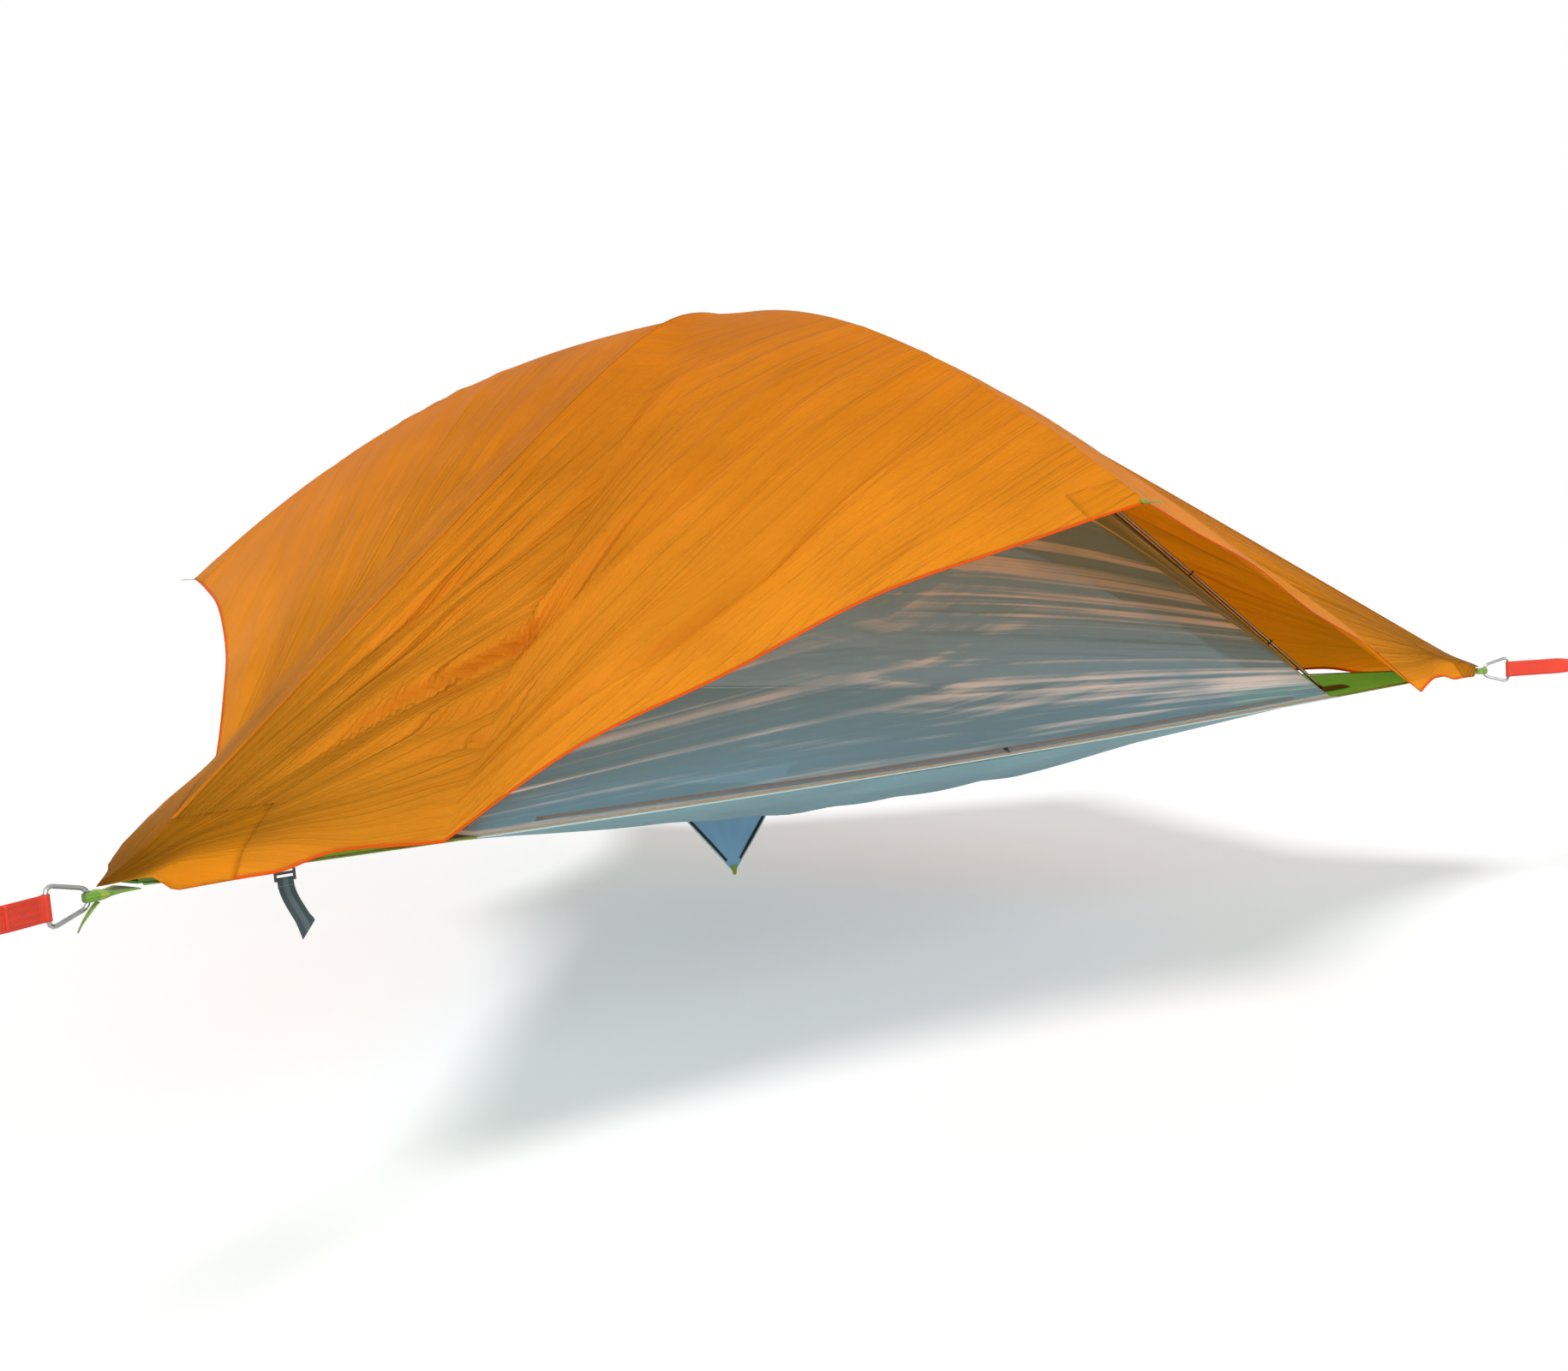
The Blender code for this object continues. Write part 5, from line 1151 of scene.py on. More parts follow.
grid = spots_of(HATCH_MIDDLE + aside, forth, hinge_height - HATCH_LENGTH + 0.0005 + TAB_LENGTH * rise)
tab = add_sheet("cover_pull_tab", grid, tab_webbing, band_map(grid[:, 0], turn[0] * 0.004), way=-1)
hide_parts("hatch_tab")
for piece in pieces + [tab]:
    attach(piece, "flap")

for side, name in ((-1, "left"), (1, "right")):
    start = hatch_corners[1 + side]
    tip = hatch_corners[1]
    ahead = (tip - start) / np.linalg.norm(tip - start)
    outward = np.array([-ahead[1], ahead[0], 0.0]) * side
    run = np.linspace(0.0, 1.0, 60)[:, None]
    path = np.append(start + (tip - start) * run, np.zeros((60, 1)), axis=1)
    offsets = np.linspace(0.0, ZIP_WIDTH, 5)
    band = band_along(path, outward, offsets)
    band[..., 2] = hammock(band) + FLOOR_THICKNESS / 2 + ZIP_THICKNESS / 2 + 0.0001
    flat = band_map(path, offsets)
    zip_half = add_sheet(f"floor_zip_{name}", band, zip_black, flat, ZIP_THICKNESS, way=side)
    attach(zip_half, "tent")


# ---------------------------------------------------------------- Door zip
# The door of the front netting wall: a zip on a dark grey tape above the hem, with a moulded
# slider and a cord pull. The photo shows it as a small dark tick.
DOOR_FROM = 0.16
DOOR_TO = 0.84
DOOR_SLIDER_SHARE = 0.5225
DOOR_RISE = 0.0200
DOOR_CLEAR = 0.0014
DOOR_ZIP_WIDTH = 0.011
SLIDER_STAND = 0.0022
SLIDER_HALF = 0.006
SLIDER_RADII = (0.0016, 0.0018)  # at its ends, and what the middle has more
PULL_STAND = 0.0052
PULL_LENGTH = 0.019
PULL_RADIUS = 0.0016
DOOR_GREY = (0.200, 0.250, 0.260)

door_grey = zip_tape("door_grey", DOOR_GREY)
foot, upwards, square = net_feet[0]
count = len(foot)
rail = foot + upwards * DOOR_RISE + square * DOOR_CLEAR
door = slice(round(DOOR_FROM * count), round(DOOR_TO * count))
offsets = np.linspace(-1, 1, 5) * DOOR_ZIP_WIDTH / 2
door_zip = add_band("door_zip", rail[door], upwards[door], offsets, door_grey, ZIP_THICKNESS)
spot = round(DOOR_SLIDER_SHARE * count)
ahead = foot[spot + 1] - foot[spot - 1]
ahead /= np.linalg.norm(ahead)
body = np.linspace(-SLIDER_HALF, SLIDER_HALF, 9)[:, None]
body = rail[spot] + square[spot] * SLIDER_STAND + ahead * body
body_radius = SLIDER_RADII[0] + SLIDER_RADII[1] * np.sqrt(1 - np.linspace(-1, 1, 9) ** 2)
hang = rail[spot] + square[spot] * PULL_STAND - upwards[spot] * np.linspace(0.0, PULL_LENGTH, 12)[:, None]
knob = PULL_RADIUS * (1 + 0.9 * smooth_step(np.linspace(0, 1, 12), 0.6, 0.9))
body = tube_points(body, body_radius, 14)
slider = add_piece("door_slider", *joined(body, tube_points(hang, knob, 12)), clip_black)
for piece in (door_zip, slider):
    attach(piece, "tent")


# ---------------------------------------------------------------- Corner loops
# At each ring the lime corner is gathered into thick pleats round the ring's round end, and a
# folded webbing band with bar tacks holds the pleats together. The steel ring hangs in the fold.
LOOP_ROOT = 2.238
HANGER_HEIGHT = -0.010
RING_APEX = 2.315
RING_WIRE = 0.0045
LOOP_START = 0.0022
LOOP_END = RING_APEX - LOOP_ROOT + RING_WIRE + 0.004
LOOP_COLUMNS = 96
LOOP_POWER = 0.65
KEEPER_THICKNESS = 0.0010
LOOSE_HALF = 0.0125
LOOSE_THICKNESS = 0.0012


def frame_at(bearing, radius, height):
    """A point and the three directions there: out from the tent's middle, aside and up."""
    axes = np.array([ring_spot(bearing, 1.0), ring_spot(bearing + 90, 1.0), (0, 0, 1)])
    return ring_spot(bearing, radius, height), axes


def placed(points, root, axes):
    """Points given along the three directions of a frame, in the tent's own frame."""
    return root + np.asarray(points, float) @ axes


def gathered(run, turn):
    """The gathered corner: a rounded box section from wide and flat to narrow and high, with pleats
    that are cosines round it and grow towards the ring.
    """
    places = np.array([0.0, 0.35, 0.70, 0.90, 1.0])
    wide = np.interp(run, places, (0.044, 0.0293, 0.0154, 0.0110, 0.0086))
    high = np.interp(run, places, (0.0018, 0.0028, 0.0084, 0.0100, 0.0084))
    pleat = 1 + 0.055 * smooth_step(run, 0.05, 0.6) * np.cos(11 * turn + 2 * np.sin(2 * turn))
    across = wide * rounded(np.cos(turn), LOOP_POWER) * pleat
    rise = high * rounded(np.sin(turn), LOOP_POWER) * pleat
    return spots_of(LOOP_START + (LOOP_END - LOOP_START) * run, across, rise)


run = np.linspace(0, 1, 40)
turn = np.linspace(0, math.tau, LOOP_COLUMNS, endpoint=False)
body = gathered(run[:, None], turn[None])
body_points, body_faces = capped(body, body[[0, -1]].mean(axis=1))
body_flat = np.stack(np.meshgrid(turn * 0.008, run * 0.08), axis=-1).reshape(-1, 2)
body_flat = np.append(body_flat, np.zeros((2, 2)), axis=0)
keeper_run = np.linspace(0.56, 0.74, 7)
keeper = gathered(keeper_run[:, None], turn[None])
keeper[..., 1:] *= 1.05 + 0.04 * np.sin(np.linspace(0, math.pi, 7))[:, None, None]
tacks = []
for place in (0.60, 0.65, 0.70):
    ring_line = gathered(np.full(61, place), np.linspace(0, math.tau, 61))
    away = unit(ring_line * (0, 1, 1))
    tacks.append(stitch_row(ring_line * (1, 1.10, 1.10), away, pitch=0.0030, length=0.0022))
tack_points, tack_faces = joined(*tacks)
for corner in range(3):
    root, axes = frame_at(BEARINGS[corner], LOOP_ROOT, HANGER_HEIGHT)
    points = placed(body_points, root, axes)
    pleats = add_piece(f"corner_gather_{corner + 1}", points, body_faces, lime_webbing, body_flat)
    name = f"corner_keeper_{corner + 1}"
    flat = np.stack(np.meshgrid(turn * 0.008, keeper_run * 0.08), axis=-1)
    band = add_sheet(name, placed(keeper, root, axes), tab_webbing, flat, KEEPER_THICKNESS, closed=True)
    points = placed(tack_points, root, axes)
    stitches = add_piece(f"corner_tacks_{corner + 1}", points, tack_faces, pale_thread)
    for piece in (pleats, band, stitches):
        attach(piece, f"hanger_{corner + 1}")
    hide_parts(f"corner_loop_{corner + 1}")
    if corner == 0:
        fold = np.linspace(0, 1, 24)
        out = LOOP_END - 0.026 + 0.044 * fold
        path = spots_of(out, 0.002 * np.sin(5 * fold), -0.0125 - 0.046 * fold**1.5)
        wide = LOOSE_HALF * (1 - 0.7 * smooth_step(fold, 0.35, 1.0))
        lateral = np.linspace(-1, 1, 9)
        loose = path[:, None] + (wide[:, None] * lateral)[..., None] * (0.35, 0.94, 0.0)
        flat = band_map(path, lateral * LOOSE_HALF)
        loose = placed(loose, root, axes)
        end = add_sheet("corner_loose_end", loose, tab_webbing, flat, LOOSE_THICKNESS)
        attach(end, "hanger_1")


# ---------------------------------------------------------------- Tree straps
# Red-orange 48 mm webbing: folded round the ring's bar, a quarter turn on the way, folded round
# the ratchet's bolt. Each end is laid back on the strap and sewn with a box and a cross.
STRAP_WIDTH = 0.048
STRAP_THICKNESS = 0.0018
STRAP_LENGTH = 0.40
RING_LENGTH = 0.078
BOLT_RADIUS = 0.005
EYE_CLEAR = 0.0007
LAP_LENGTH = 0.075
LAP_LIFT = STRAP_THICKNESS + 0.0004
EYE_LENGTH = 2.2  # how far an eye reaches, over its radius
LAP_STEPS = 12
EYE_STEPS = 22
STRAP_RED = (0.860, 0.045, 0.010)
THREAD_DARK = (0.300, 0.012, 0.006)


def strap_line():
    """The middle line of a strap and its width directions.

    From the sewn lap back to the bar, round it on an arc, and along the middle with a twist that
    follows 3t^2 - 2t^3; then the same round the bolt, in the other plane.
    """
    first, last = (bar + EYE_CLEAR + STRAP_THICKNESS / 2 for bar in (RING_WIRE, BOLT_RADIUS))
    near, far = EYE_LENGTH * first, EYE_LENGTH * last
    turn = np.radians(np.linspace(35, 325, EYE_STEPS))
    share = np.linspace(0, 1, 70)
    twist = math.pi / 2 * smooth_step(share, 0.25, 0.75)
    spots = [
        spots_of(np.linspace(LAP_LENGTH, near, LAP_STEPS), LAP_LIFT, 0),
        spots_of(first * np.cos(turn), first * np.sin(turn), 0),
        spots_of(near + (STRAP_LENGTH - near - far) * share, 0, 0),
        spots_of(STRAP_LENGTH - last * np.cos(turn), 0, last * np.sin(turn)),
        spots_of(np.linspace(STRAP_LENGTH - far, STRAP_LENGTH - LAP_LENGTH, LAP_STEPS), 0, -LAP_LIFT),
    ]
    upright, level = (np.tile(way, (LAP_STEPS + EYE_STEPS, 1)) for way in ((0, 0, 1), (0, 1, 0)))
    return np.concatenate(spots), np.concatenate([upright, spots_of(0, np.sin(twist), np.cos(twist)), level])


strap_webbing = webbing("strap_webbing", STRAP_RED, pitch=0.0034, rough=0.45, dark=0.62)
dark_thread = thread("dark_thread", THREAD_DARK)
spots, wides = strap_line()
offsets = np.linspace(-1, 1, 9) * STRAP_WIDTH / 2
strap_grid = band_along(spots, wides, offsets)
near, far, half = 0.018, LAP_LENGTH - 0.006, STRAP_WIDTH / 2 - 0.006
box = np.array([(near, -half), (far, -half), (far, half), (near, half), (near, -half), (far, half)])
cross = np.array([(near, half), (far, -half)])
lines = [*zip(box, box[1:]), *zip(cross, cross[1:])]
boxes = []
for place, wide in ((0.0, (0, 0, 1.0)), (STRAP_LENGTH, (0, 1.0, 0))):
    out = np.cross((1.0, 0, 0), wide) * (-1 if place == 0 else 1)
    for a, b in lines:
        line = a + (b - a) * np.linspace(0, 1, 12)[:, None]
        x = line[:, :1] if place == 0 else place - line[:, :1]
        path = x * (1.0, 0, 0) + line[:, 1:] * wide + out * (STRAP_THICKNESS * 1.5 + 0.0006)
        boxes.append(stitch_row(path, out, pitch=0.0036, length=0.0028, width=0.0009))
box_points, box_faces = joined(*boxes)
for corner in range(3):
    root, axes = frame_at(BEARINGS[corner], LOOP_ROOT, HANGER_HEIGHT)
    bar = root + axes[0] * (RING_APEX - LOOP_ROOT + RING_LENGTH)
    grid = placed(strap_grid, bar, axes)
    flat = band_map(spots, offsets)
    strap = add_sheet(f"strap_cloth_{corner + 1}", grid, strap_webbing, flat, STRAP_THICKNESS)
    points = placed(box_points, bar, axes)
    sewing = add_piece(f"strap_stitches_{corner + 1}", points, box_faces, dark_thread)
    for piece in (strap, sewing):
        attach(piece, f"hanger_{corner + 1}")
    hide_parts(f"tree_strap_{corner + 1}")


# ---------------------------------------------------------------- Fly seams and hems
# Over each pole arm the panels are joined by a felled seam with two rows of stitches. Each free
# edge has a narrow red-orange hem, and a sewn doubling takes the pull at tips and ring corners.
SEAM_OFFSETS = (0.0060, 0.0040, 0.0010)
SEAM_LIFT = 0.0011
SEAM_THICKNESS = 0.0008
HEM_THICKNESS = 0.0005
TIP_THICKNESS = 0.0007
CAP_THICKNESS = 0.0009
HEM_FRONT = 0.0050
HEM_BACK = 0.0100
HEM_CLEAR = 0.0010
TIP_ROWS = 12
TIP_COLUMNS = 6
CAP_ROWS = 15
CAP_COLUMNS = 17
CAP_REACH = 0.036
CAP_DROP = 0.006
HEM_ORANGE = (0.930, 0.140, 0.010)
SEAM_AMBER = (0.640, 0.200, 0.006)
PATCH_AMBER = (0.860, 0.360, 0.014)
THREAD_BROWN = (0.300, 0.085, 0.008)


def beside_seam(panel, offset):
    """The points of a panel at a distance square to its first column, one on each row.

    A row's reach grows with its share of the way from the peak, so the column sought is the one
    where the last row reaches the distance over that share.
    """
    seam = panel[:, 0]
    out = (seam[-1] - seam[0]) * (1, 1, 0)
    out /= np.linalg.norm(out)
    aside = np.array([-out[1], out[0], 0.0])
    reach = np.abs(((panel[-1] - seam[-1]) * aside).sum(-1))
    share = np.linalg.norm(seam[:, :2], axis=-1) / np.linalg.norm(seam[-1, :2])
    place = np.interp(offset / share, np.maximum.accumulate(reach), np.arange(len(reach)))
    low = np.minimum(place.astype(int), len(reach) - 2)
    part = (place - low)[:, None]
    rows = np.arange(len(panel))
    return panel[rows, low] * (1 - part) + panel[rows, low + 1] * part


seam_cloth = tent_cloth("seam_cloth", SEAM_AMBER, SEAM_AMBER, (0, 1), 0.15, AMBER_THROUGH, pulls=0.0)
hem_cloth = tent_cloth("hem_cloth", HEM_ORANGE, HEM_ORANGE, (0, 1), 0.35, pulls=0.0)
patch_cloth = tent_cloth("patch_cloth", PATCH_AMBER, PATCH_AMBER, (0, 1), 0.40, AMBER_THROUGH, pulls=0.045)
brown_thread = thread("brown_thread", THREAD_BROWN)
for corner in range(3):
    before = fly_grids[(corner + 2) % 3][3:, ::-1]
    after = fly_grids[corner][3:]
    strip = [beside_seam(before, offset) for offset in SEAM_OFFSETS]
    strip = np.stack(strip + [beside_seam(after, offset) for offset in SEAM_OFFSETS[::-1]], axis=1)
    square = unit_normals(strip)
    strip = strip + square * SEAM_LIFT
    flat = band_map(strip[:, 2], np.linspace(-1, 1, 6) * SEAM_OFFSETS[0])
    seam = add_sheet(f"fly_seam_{corner + 1}", strip, seam_cloth, flat, SEAM_THICKNESS)
    rows = [stitch_row(strip[:, k] + square[:, k] * 0.0005, square[:, k]) for k in (1, 4)]

    grid = fly_grids[corner]
    normals = unit_normals(grid)
    edge = grid[-1]
    inwards = unit(grid[-2] - edge)
    turn = np.linspace(0, math.pi, 7)
    deep = np.concatenate([[HEM_FRONT, HEM_FRONT / 2], -HEM_CLEAR * np.sin(turn), [HEM_BACK / 2, HEM_BACK]])
    lifts = np.concatenate([[HEM_CLEAR] * 2, HEM_CLEAR * np.cos(turn), [-HEM_CLEAR] * 2])
    name = f"fly_hem_{corner + 1}"
    hem = add_band(name, edge, inwards, deep, hem_cloth, HEM_THICKNESS, lifts, normals[-1], way=-1)
    rows.append(stitch_row(edge + inwards * 0.008 + normals[-1] * 0.0006, normals[-1]))

    middle = FLY_COLUMNS - 1
    part = np.s_[-TIP_ROWS - 1 : -1, middle - TIP_COLUMNS : middle + TIP_COLUMNS + 1]
    doubled = grid[part] + normals[part] * 0.0010
    flat = laid_flat(grid)[part]
    tip = add_sheet(f"fly_tip_patch_{corner + 1}", doubled, patch_cloth, flat, TIP_THICKNESS)
    add_map(tip, "pull", pull_angles(doubled, corner))
    both = (doubled, normals[part])
    inner, out = (np.concatenate([v[:0:-1, 1], v[1, 1:-1], v[1:, -2]]) for v in both)
    rows.append(stitch_row(inner + out * 0.0005, out))

    wing = [fly_grids[(corner + 2) % 3][:, ::-1], grid]
    wing = [half[-CAP_ROWS:, :CAP_COLUMNS] for half in wing]
    cap = np.concatenate([wing[0][:, :0:-1], wing[1]], axis=1)
    outward = ring_spot(BEARINGS[corner], 1.0)
    gap = np.linalg.norm(cap - ring_spot(BEARINGS[corner], *FLY_CORNER), axis=-1)
    pull = np.exp(-((gap / 0.045) ** 2))[..., None]
    cap = cap + unit_normals(cap) * 0.0014 + pull * (outward * CAP_REACH - np.array([0, 0, CAP_DROP]))
    square = unit_normals(cap)
    flat = laid_flat(cap)
    reinforced = add_sheet(f"fly_corner_patch_{corner + 1}", cap, patch_cloth, flat, CAP_THICKNESS)
    add_map(reinforced, "pull", pull_angles(cap, corner))
    sewn = [stitch_row(cap[k, 1:-1] + square[k, 1:-1] * 0.0006, square[k, 1:-1]) for k in (1, -2)]
    cap_sewing = add_piece(f"fly_corner_stitches_{corner + 1}", *joined(*sewn), brown_thread)
    sewing = add_piece(f"fly_stitches_{corner + 1}", *joined(*rows), brown_thread)
    for piece in (seam, hem, tip, sewing):
        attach(piece, "tent")
    for piece in (reinforced, cap_sewing):
        start = ring_spot(BEARINGS[corner], 2.20)
        end = ring_spot(BEARINGS[corner], 2.29)
        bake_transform(piece)


# ---------------------------------------------------------------- Tabs and corner straps
# At each raised tip of the fly a folded lime tab with a buttonhole, for a guy line. At each ring
# a short dark strap holds the fly's corner down to the corner panel.
TAB_WIDTH = 0.020
TAB_OUTER = 0.042
TAB_ROOT = 0.014
TAB_THICKNESS = 0.0016
TAB_SLOPE = 0.76
TAB_DROP = 0.0016
TAB_POWER = 0.4
SLOT_PLACE = 0.030
SLOT_HALF = (0.0060, 0.0048)
DARK_WEB = (0.020, 0.045, 0.052)
dark_webbing = webbing("dark_webbing", DARK_WEB, pitch=0.0024, dark=0.5)
for corner in range(3):
    root, axes = frame_at(BEARINGS[corner] + 60, *FLY_TIP)
    turn = np.linspace(0, math.tau, 64, endpoint=False)
    spread = rounded(np.stack([np.cos(turn), np.sin(turn)], axis=-1), TAB_POWER)
    slot = (SLOT_PLACE, 0.0) + spread * SLOT_HALF
    outer = ((TAB_OUTER - TAB_ROOT) / 2, 0.0) + spread * ((TAB_OUTER + TAB_ROOT) / 2, TAB_WIDTH / 2)
    ways = np.linspace(0, 1, 7)[:, None, None]
    flat = slot + (outer - slot) * ways
    out = flat[..., 0]
    lift = np.where(out < 0, -TAB_SLOPE * out - TAB_DROP, -TAB_DROP * (1 - smooth_step(out, 0, 0.004)))
    grid = placed(np.concatenate([flat, lift[..., None]], axis=-1), root, axes)
    name = f"fly_tab_loop_{corner + 1}"
    tab = add_sheet(name, grid, lime_webbing, flat[..., ::-1], TAB_THICKNESS, closed=True)
    edging = slot + (outer - slot) * 0.12
    path = np.concatenate([edging, edging[:1]])
    path = np.append(path, np.full((len(path), 1), TAB_THICKNESS / 2 + 0.0001), axis=1)
    sewn = stitch_row(placed(path, root, axes), (0, 0, 1), pitch=0.0018, length=0.0015)
    tacks = add_piece(f"fly_tab_stitches_{corner + 1}", *sewn, pale_thread)
    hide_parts(f"fly_tab_{corner + 1}")
    low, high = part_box(f"fly_corner_strap_{corner + 1}")
    rise = np.linspace(low[2], high[2], 30)
    share = np.linspace(0, 1, 30)
    radius = FLY_CORNER[0] - 2 * TAB_WIDTH + TAB_THICKNESS / 2 + 0.0012 * np.sin(math.tau * share)
    path = ring_spot(BEARINGS[corner], radius, rise)
    offsets = np.linspace(-1, 1, 7) * TAB_WIDTH / 2
    across = ring_spot(BEARINGS[corner] + 90, 1.0)
    thickness = TAB_THICKNESS - 0.0002
    strap = add_band(f"corner_strap_{corner + 1}", path, across, offsets, dark_webbing, thickness)
    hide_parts(f"fly_corner_strap_{corner + 1}")
    for piece, slot_name in ((tab, "lime_webbing"), (tacks, "lime_webbing"), (strap, "dark_webbing")):
        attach(piece, "tent")


# ---------------------------------------------------------------- Pole arms, hub and patches
# Three bent arms of anodised aluminium tube in five sections, pushed together at wider ferrules,
# into a moulded black hub. Each arm stands on a dark doubled patch sewn into its corner.
POLE_RADIUS = 0.0055
FERRULE_RADIUS = 0.0065
FERRULE_LENGTH = 0.07
POLE_SECTIONS = 5
SOCKET_FLOOR = 0.0384
PATCH_LENGTH = 0.16
PATCH_WIDTH = 0.10
PATCH_LIFT = 0.0031
PATCH_THICKNESS = 0.0014
PATCH_BOW = 0.30
POLE_GREY = (0.420, 0.440, 0.460)
HUB_BLACK = (0.022, 0.022, 0.024)


def tube_metal(name, colour):
    """Drawn tube: a very fine grain, with scuffs that are duller."""
    look = moulded(name, colour, metal=1.0, grain=220.0, bump=0.05)
    tree = look.node_tree
    dull = ranged(tree, noise_of(tree, own_place(tree), 18, 7), 0.45, 0.70, 0.26, 0.52)
    feed(tree, tree.nodes["Principled BSDF"], {"Roughness": dull})
    return look


pole_metal = tube_metal("pole_metal", POLE_GREY)
hub_black = moulded("hub_black", HUB_BLACK, rough=0.42, grain=90.0, bump=0.25)
free_run = ARM_FOOT - HUB_REACH
for corner in range(3):
    bearing = BEARINGS[corner]
    stations = np.linspace(SOCKET_FLOOR, ARM_FOOT, 170)
    middles = HUB_REACH + free_run * (np.arange(1, POLE_SECTIONS) - 0.3) / POLE_SECTIONS
    step = FERRULE_RADIUS - POLE_RADIUS
    half = FERRULE_LENGTH / 2
    joints = (middles[:, None] + np.array([-half - step, -half, half, half + step])).ravel()
    stations = np.sort(np.concatenate([stations, joints]))
    away = np.abs(stations[:, None] - middles).min(axis=1)
    radius = POLE_RADIUS + step * np.clip((half + step - away) / step, 0, 1)
    path = ring_spot(bearing, stations, arm_height(stations))
    arm = add_piece(f"pole_tube_{corner + 1}", *tube_points(path, radius, 20), pole_metal)
    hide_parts(f"pole_arm_{corner + 1}")
    u, v = np.meshgrid(np.linspace(-1, 1, 25), np.linspace(-1, 1, 19), indexing="ij")
    out = PATCH_LENGTH / 2 * u * np.sqrt(1 - PATCH_BOW * v**4)
    aside = PATCH_WIDTH / 2 * v * np.sqrt(1 - PATCH_BOW * u**4)
    spots = ring_spot(bearing, ARM_FOOT) + out[..., None] * ring_spot(bearing, 1.0)
    spots = spots + aside[..., None] * ring_spot(bearing + 90, 1.0)
    spots[..., 2] = hammock(spots) + PATCH_LIFT
    flat = np.stack([aside, out], axis=-1)
    patch = add_sheet(f"pole_patch_cloth_{corner + 1}", spots, dark_webbing, flat, PATCH_THICKNESS)
    border = np.concatenate([spots[1, 1:-1], spots[1:-1, -2], spots[-2, -2:0:-1], spots[-2:0:-1, 1]])
    sewn = stitch_row(border + (0, 0, 0.0008), (0, 0, 1))
    sewing = add_piece(f"pole_patch_stitches_{corner + 1}", *sewn, pale_thread)
    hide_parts(f"pole_patch_{corner + 1}")
    for piece in (arm, patch, sewing):
        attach(piece, "tent")
bpy.data.objects["pole_hub"].material_slots[0].material = hub_black


# ---------------------------------------------------------------- Rings, ratchets and small parts
# The rings are bent from polished steel wire. The ratchets are stamped from zinc-plated steel,
# whose edges are rubbed bright and whose flats are cloudy. Sliders and buckle are moulded.
# For the nodes of each finish: its name, its tint, the tint of the cloud, and the roughness
FINISHES = {
    ("ring",): ("ring_steel", (0.330, 0.335, 0.330), (0.200, 0.205, 0.200), 0.20),
    ("ratchet_frame",): ("frame_zinc", (0.640, 0.620, 0.530), (0.560, 0.500, 0.330), 0.32),
    ("ratchet_handle",): ("handle_zinc", (0.660, 0.650, 0.600), (0.580, 0.545, 0.440), 0.30),
    ("ratchet_spool",): ("spool_steel", (0.460, 0.460, 0.450), (0.330, 0.330, 0.320), 0.28),
    ("handle_pawl", "lock_pawl"): ("pawl_steel", (0.540, 0.530, 0.480), (0.430, 0.400, 0.310), 0.34),
}
SLIDER_BLACK = (0.020, 0.022, 0.024)


def plated(name, colour, cloudy, rough):
    """Plated steel: a cloud of a second tint, fine straight scratches that change the gloss, and
    paler worn edges where the surface turns quickly.
    """
    look, tree, shader = new_look(name, {"Metallic": 1.0})
    place = own_place(tree)
    tint = colour_mix(tree, ranged(tree, noise_of(tree, place, 38, 6), 0.38, 0.66), colour, cloudy)
    worn_edges_and_lit_ribs = ranged(tree, node_of(tree, "NewGeometry", {})["Pointiness"], 0.53, 0.60)
    bright = colour_mix(tree, worn_edges_and_lit_ribs, tint, tuple(min(c * 1.3, 0.92) for c in colour))
    drawn = node_of(tree, "Mapping", {0: place, "Scale": (900, 60, 900)})[0]
    lines = noise_of(tree, drawn, 1.0, 3)
    gloss = ranged(tree, lines, 0.3, 0.7, rough - 0.07, rough + 0.13)
    raised = bumped(tree, lines, 0.00008, 0.5)
    feed(tree, shader, {"Base Color": bright, "Roughness": gloss, "Normal": raised})
    return look


for nodes, finish in FINISHES.items():
    look = plated(*finish)
    for node in nodes:
        for number in (1, 2, 3):
            bpy.data.objects[f"{node}_{number}"].material_slots[0].material = look
slider_black = moulded("slider_black", SLIDER_BLACK, rough=0.30, grain=400.0, bump=0.10)
for node in ("hatch_slider_left", "hatch_slider_right", "tail_buckle"):
    bpy.data.objects[node].material_slots[0].material = slider_black


# ---------------------------------------------------------------- Loose tail
# A dark 30 mm webbing tail, sewn round the lower bar of a ladder buckle, with its end cut on the
# slant and melted. A short webbing loop holds the buckle's upper bar under the edge webbing.
TAIL_POINT = (-1.67, -1.1547, -0.00997)
TAIL_WIDTH = 0.030
TAIL_LENGTH = 0.13
TAIL_SWING = 0.032
TAIL_LEAN = 0.010
TAIL_TWIST_SHARE = 0.35
TAIL_CUT = 0.009
BUCKLE_HEIGHT = 0.030
BUCKLE_BAR = 0.005
TAIL_STEPS = 60
TAIL_FOLD = (0.0034, 0.0040)  # half depth and height of the fold round the lower bar
TAIL_THICKNESS = 0.0013
KEEPER_FOLD = (0.0036, 0.0042)  # the same round the upper bar
TAIL_KEEPER_THICKNESS = 0.0012
TAIL_GREY = (0.030, 0.058, 0.064)
TAIL_PALE = (0.110, 0.155, 0.160)


def tail_cloth(name, colour, pale):
    """Dark webbing with a paler band woven along its middle."""
    look = webbing(name, colour, pitch=0.0026, rough=0.5, dark=0.6)
    tree = look.node_tree
    shader = tree.nodes["Principled BSDF"]
    woven = shader.inputs["Base Color"].links[0].from_socket
    aside = maths(tree, "ABSOLUTE", map_parts(tree, "cloth")[0])
    band = ranged(tree, aside, 0.0065, 0.0035, interpolation_type="SMOOTHSTEP")
    colour = colour_mix(tree, maths(tree, "MULTIPLY", band, 0.75), woven, pale)
    feed(tree, shader, {"Base Color": colour})
    return look


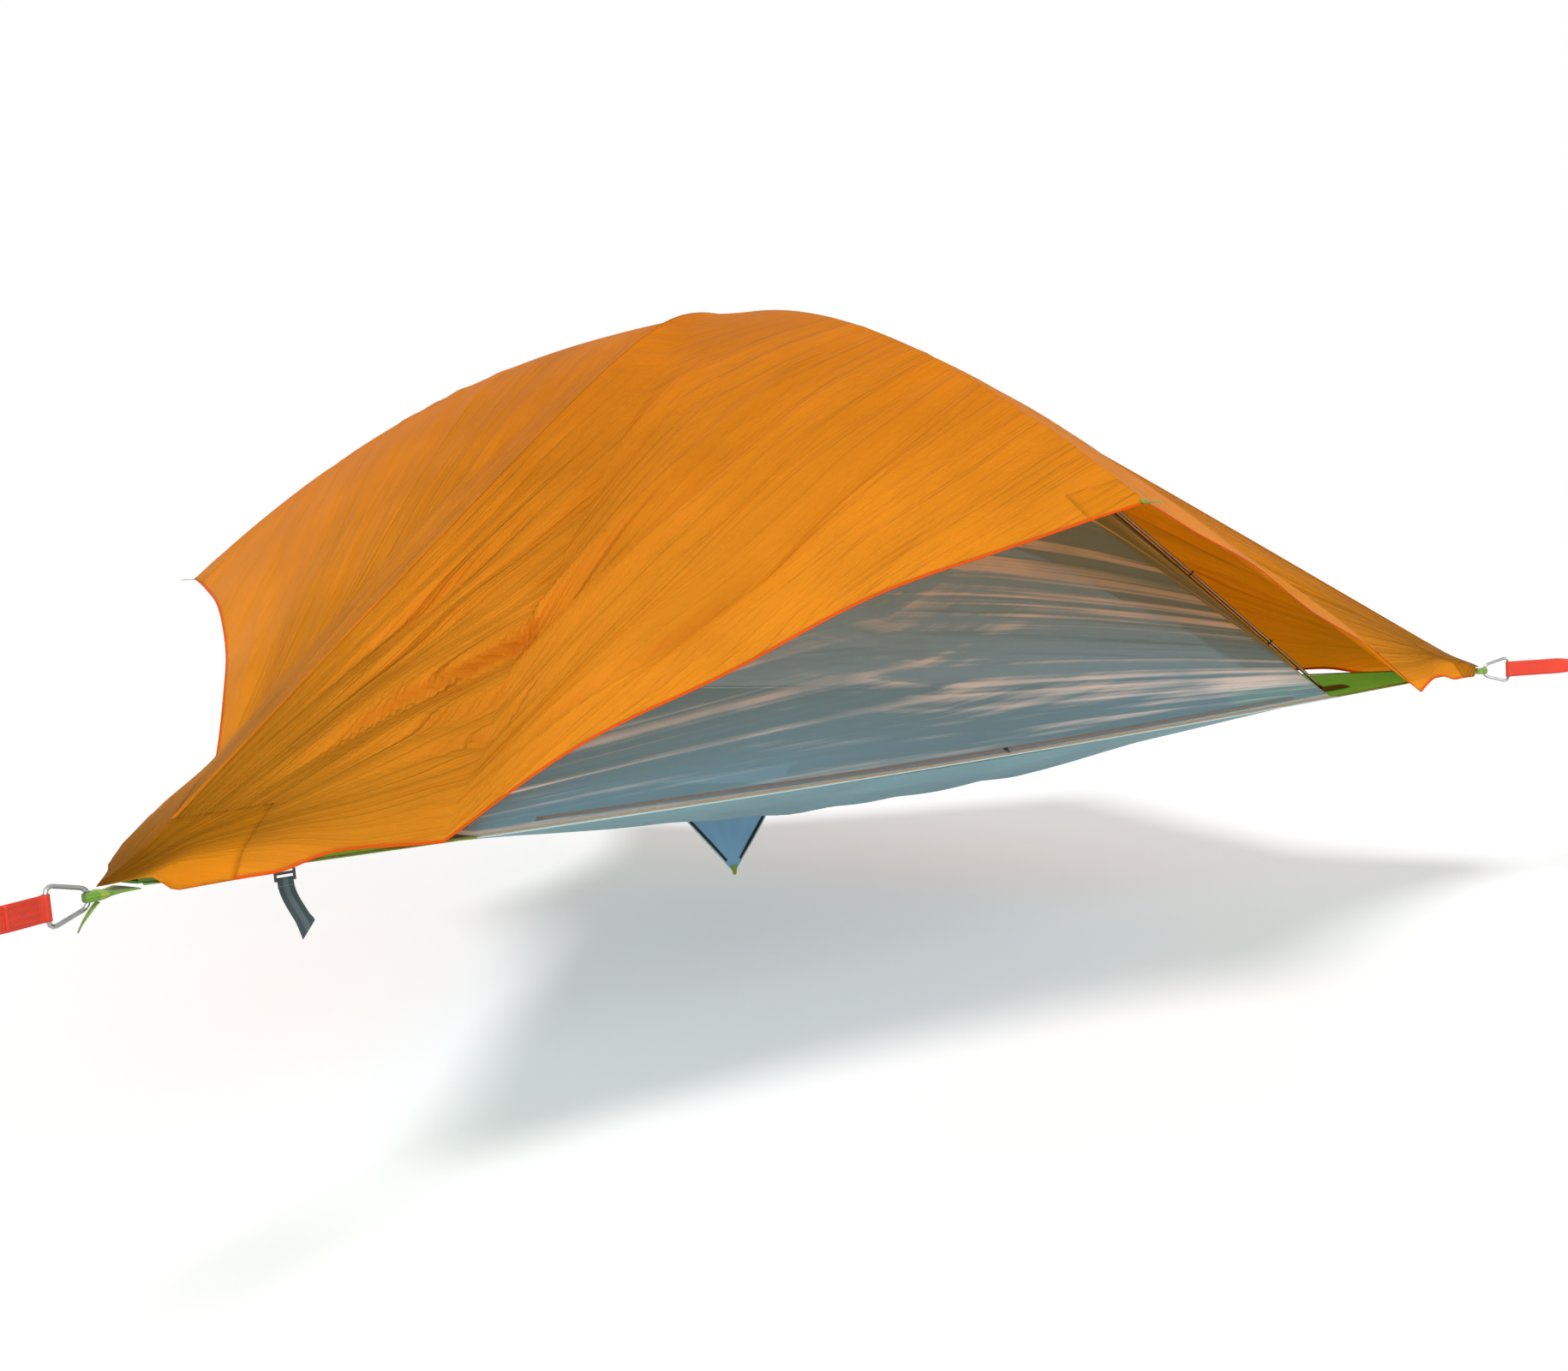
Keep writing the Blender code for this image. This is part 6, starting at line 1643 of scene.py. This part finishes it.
tail_webbing = tail_cloth("tail_webbing", TAIL_GREY, TAIL_PALE)
share = np.linspace(0, 1, TAIL_STEPS)
lateral = np.linspace(-1, 1, 9)[None]
swing = TAIL_SWING * share**2 * (2.2 - 1.2 * share)
drop = -BUCKLE_HEIGHT - 0.003 - (TAIL_LENGTH - BUCKLE_HEIGHT - 0.003) * share
slant = np.arctan2(TAIL_SWING * share * 2, TAIL_LENGTH)
centre = spots_of(swing, -TAIL_FOLD[0] * (1 - share) - TAIL_LEAN * share, drop)
across = spots_of(np.cos(slant), TAIL_TWIST_SHARE * share, np.sin(slant)) * TAIL_WIDTH / 2
bar = -BUCKLE_HEIGHT + BUCKLE_BAR / 2
turn = np.radians(np.linspace(-20, 200, 16))
over = spots_of(0, TAIL_FOLD[0] * np.cos(turn), bar + TAIL_FOLD[1] * np.sin(turn))
behind = spots_of(0, TAIL_FOLD[0] - 0.0048 * np.linspace(1, 0, 6), np.linspace(-0.044, bar - 0.002, 6))
path = np.concatenate([behind, over, centre])
wide = np.concatenate([np.tile((TAIL_WIDTH / 2 - 0.0006, 0, 0), (22, 1)), across])
cut = np.concatenate([np.zeros(22), smooth_step(share, 0.70, 1.0)])
grid = path[:, None] + wide[:, None] * lateral[..., None]
grid[..., 2] += TAIL_CUT * cut[:, None] * lateral
grid = np.array(TAIL_POINT) + grid
flat = band_map(path, lateral[0] * TAIL_WIDTH / 2)
tail = add_sheet("tail_cloth", grid, tail_webbing, flat, TAIL_THICKNESS)
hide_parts("loose_tail")
turn = np.radians(np.linspace(180, 360, 14))
hold = spots_of(0, KEEPER_FOLD[0] * np.cos(turn), -BUCKLE_BAR / 2 + KEEPER_FOLD[1] * np.sin(turn))
hold = np.concatenate([[(0, -KEEPER_FOLD[0], 0.0002)], hold, [(0, KEEPER_FOLD[0], 0.0002)]])
offsets = np.linspace(-1, 1, 7) * (TAIL_WIDTH / 2 - 0.001)
grid = band_along(np.array(TAIL_POINT) + hold, (1.0, 0, 0), offsets)
keeper = add_sheet("tail_keeper", grid, dark_webbing, band_map(hold, offsets), TAIL_KEEPER_THICKNESS)
tack_line = spots_of(np.linspace(-1, 1, 12) * 0.013, -0.0046, -0.0390)
sewn = stitch_row(np.array(TAIL_POINT) + tack_line, (0, -1, 0), pitch=0.0022, length=0.0018)
tail_tacks = add_piece("tail_tacks", *sewn, pale_thread)
for piece in (tail, keeper, tail_tacks):
    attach(piece, "tent")


# ---------------------------------------------------------------- Sizes
# The box of the finished tent.
low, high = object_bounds()
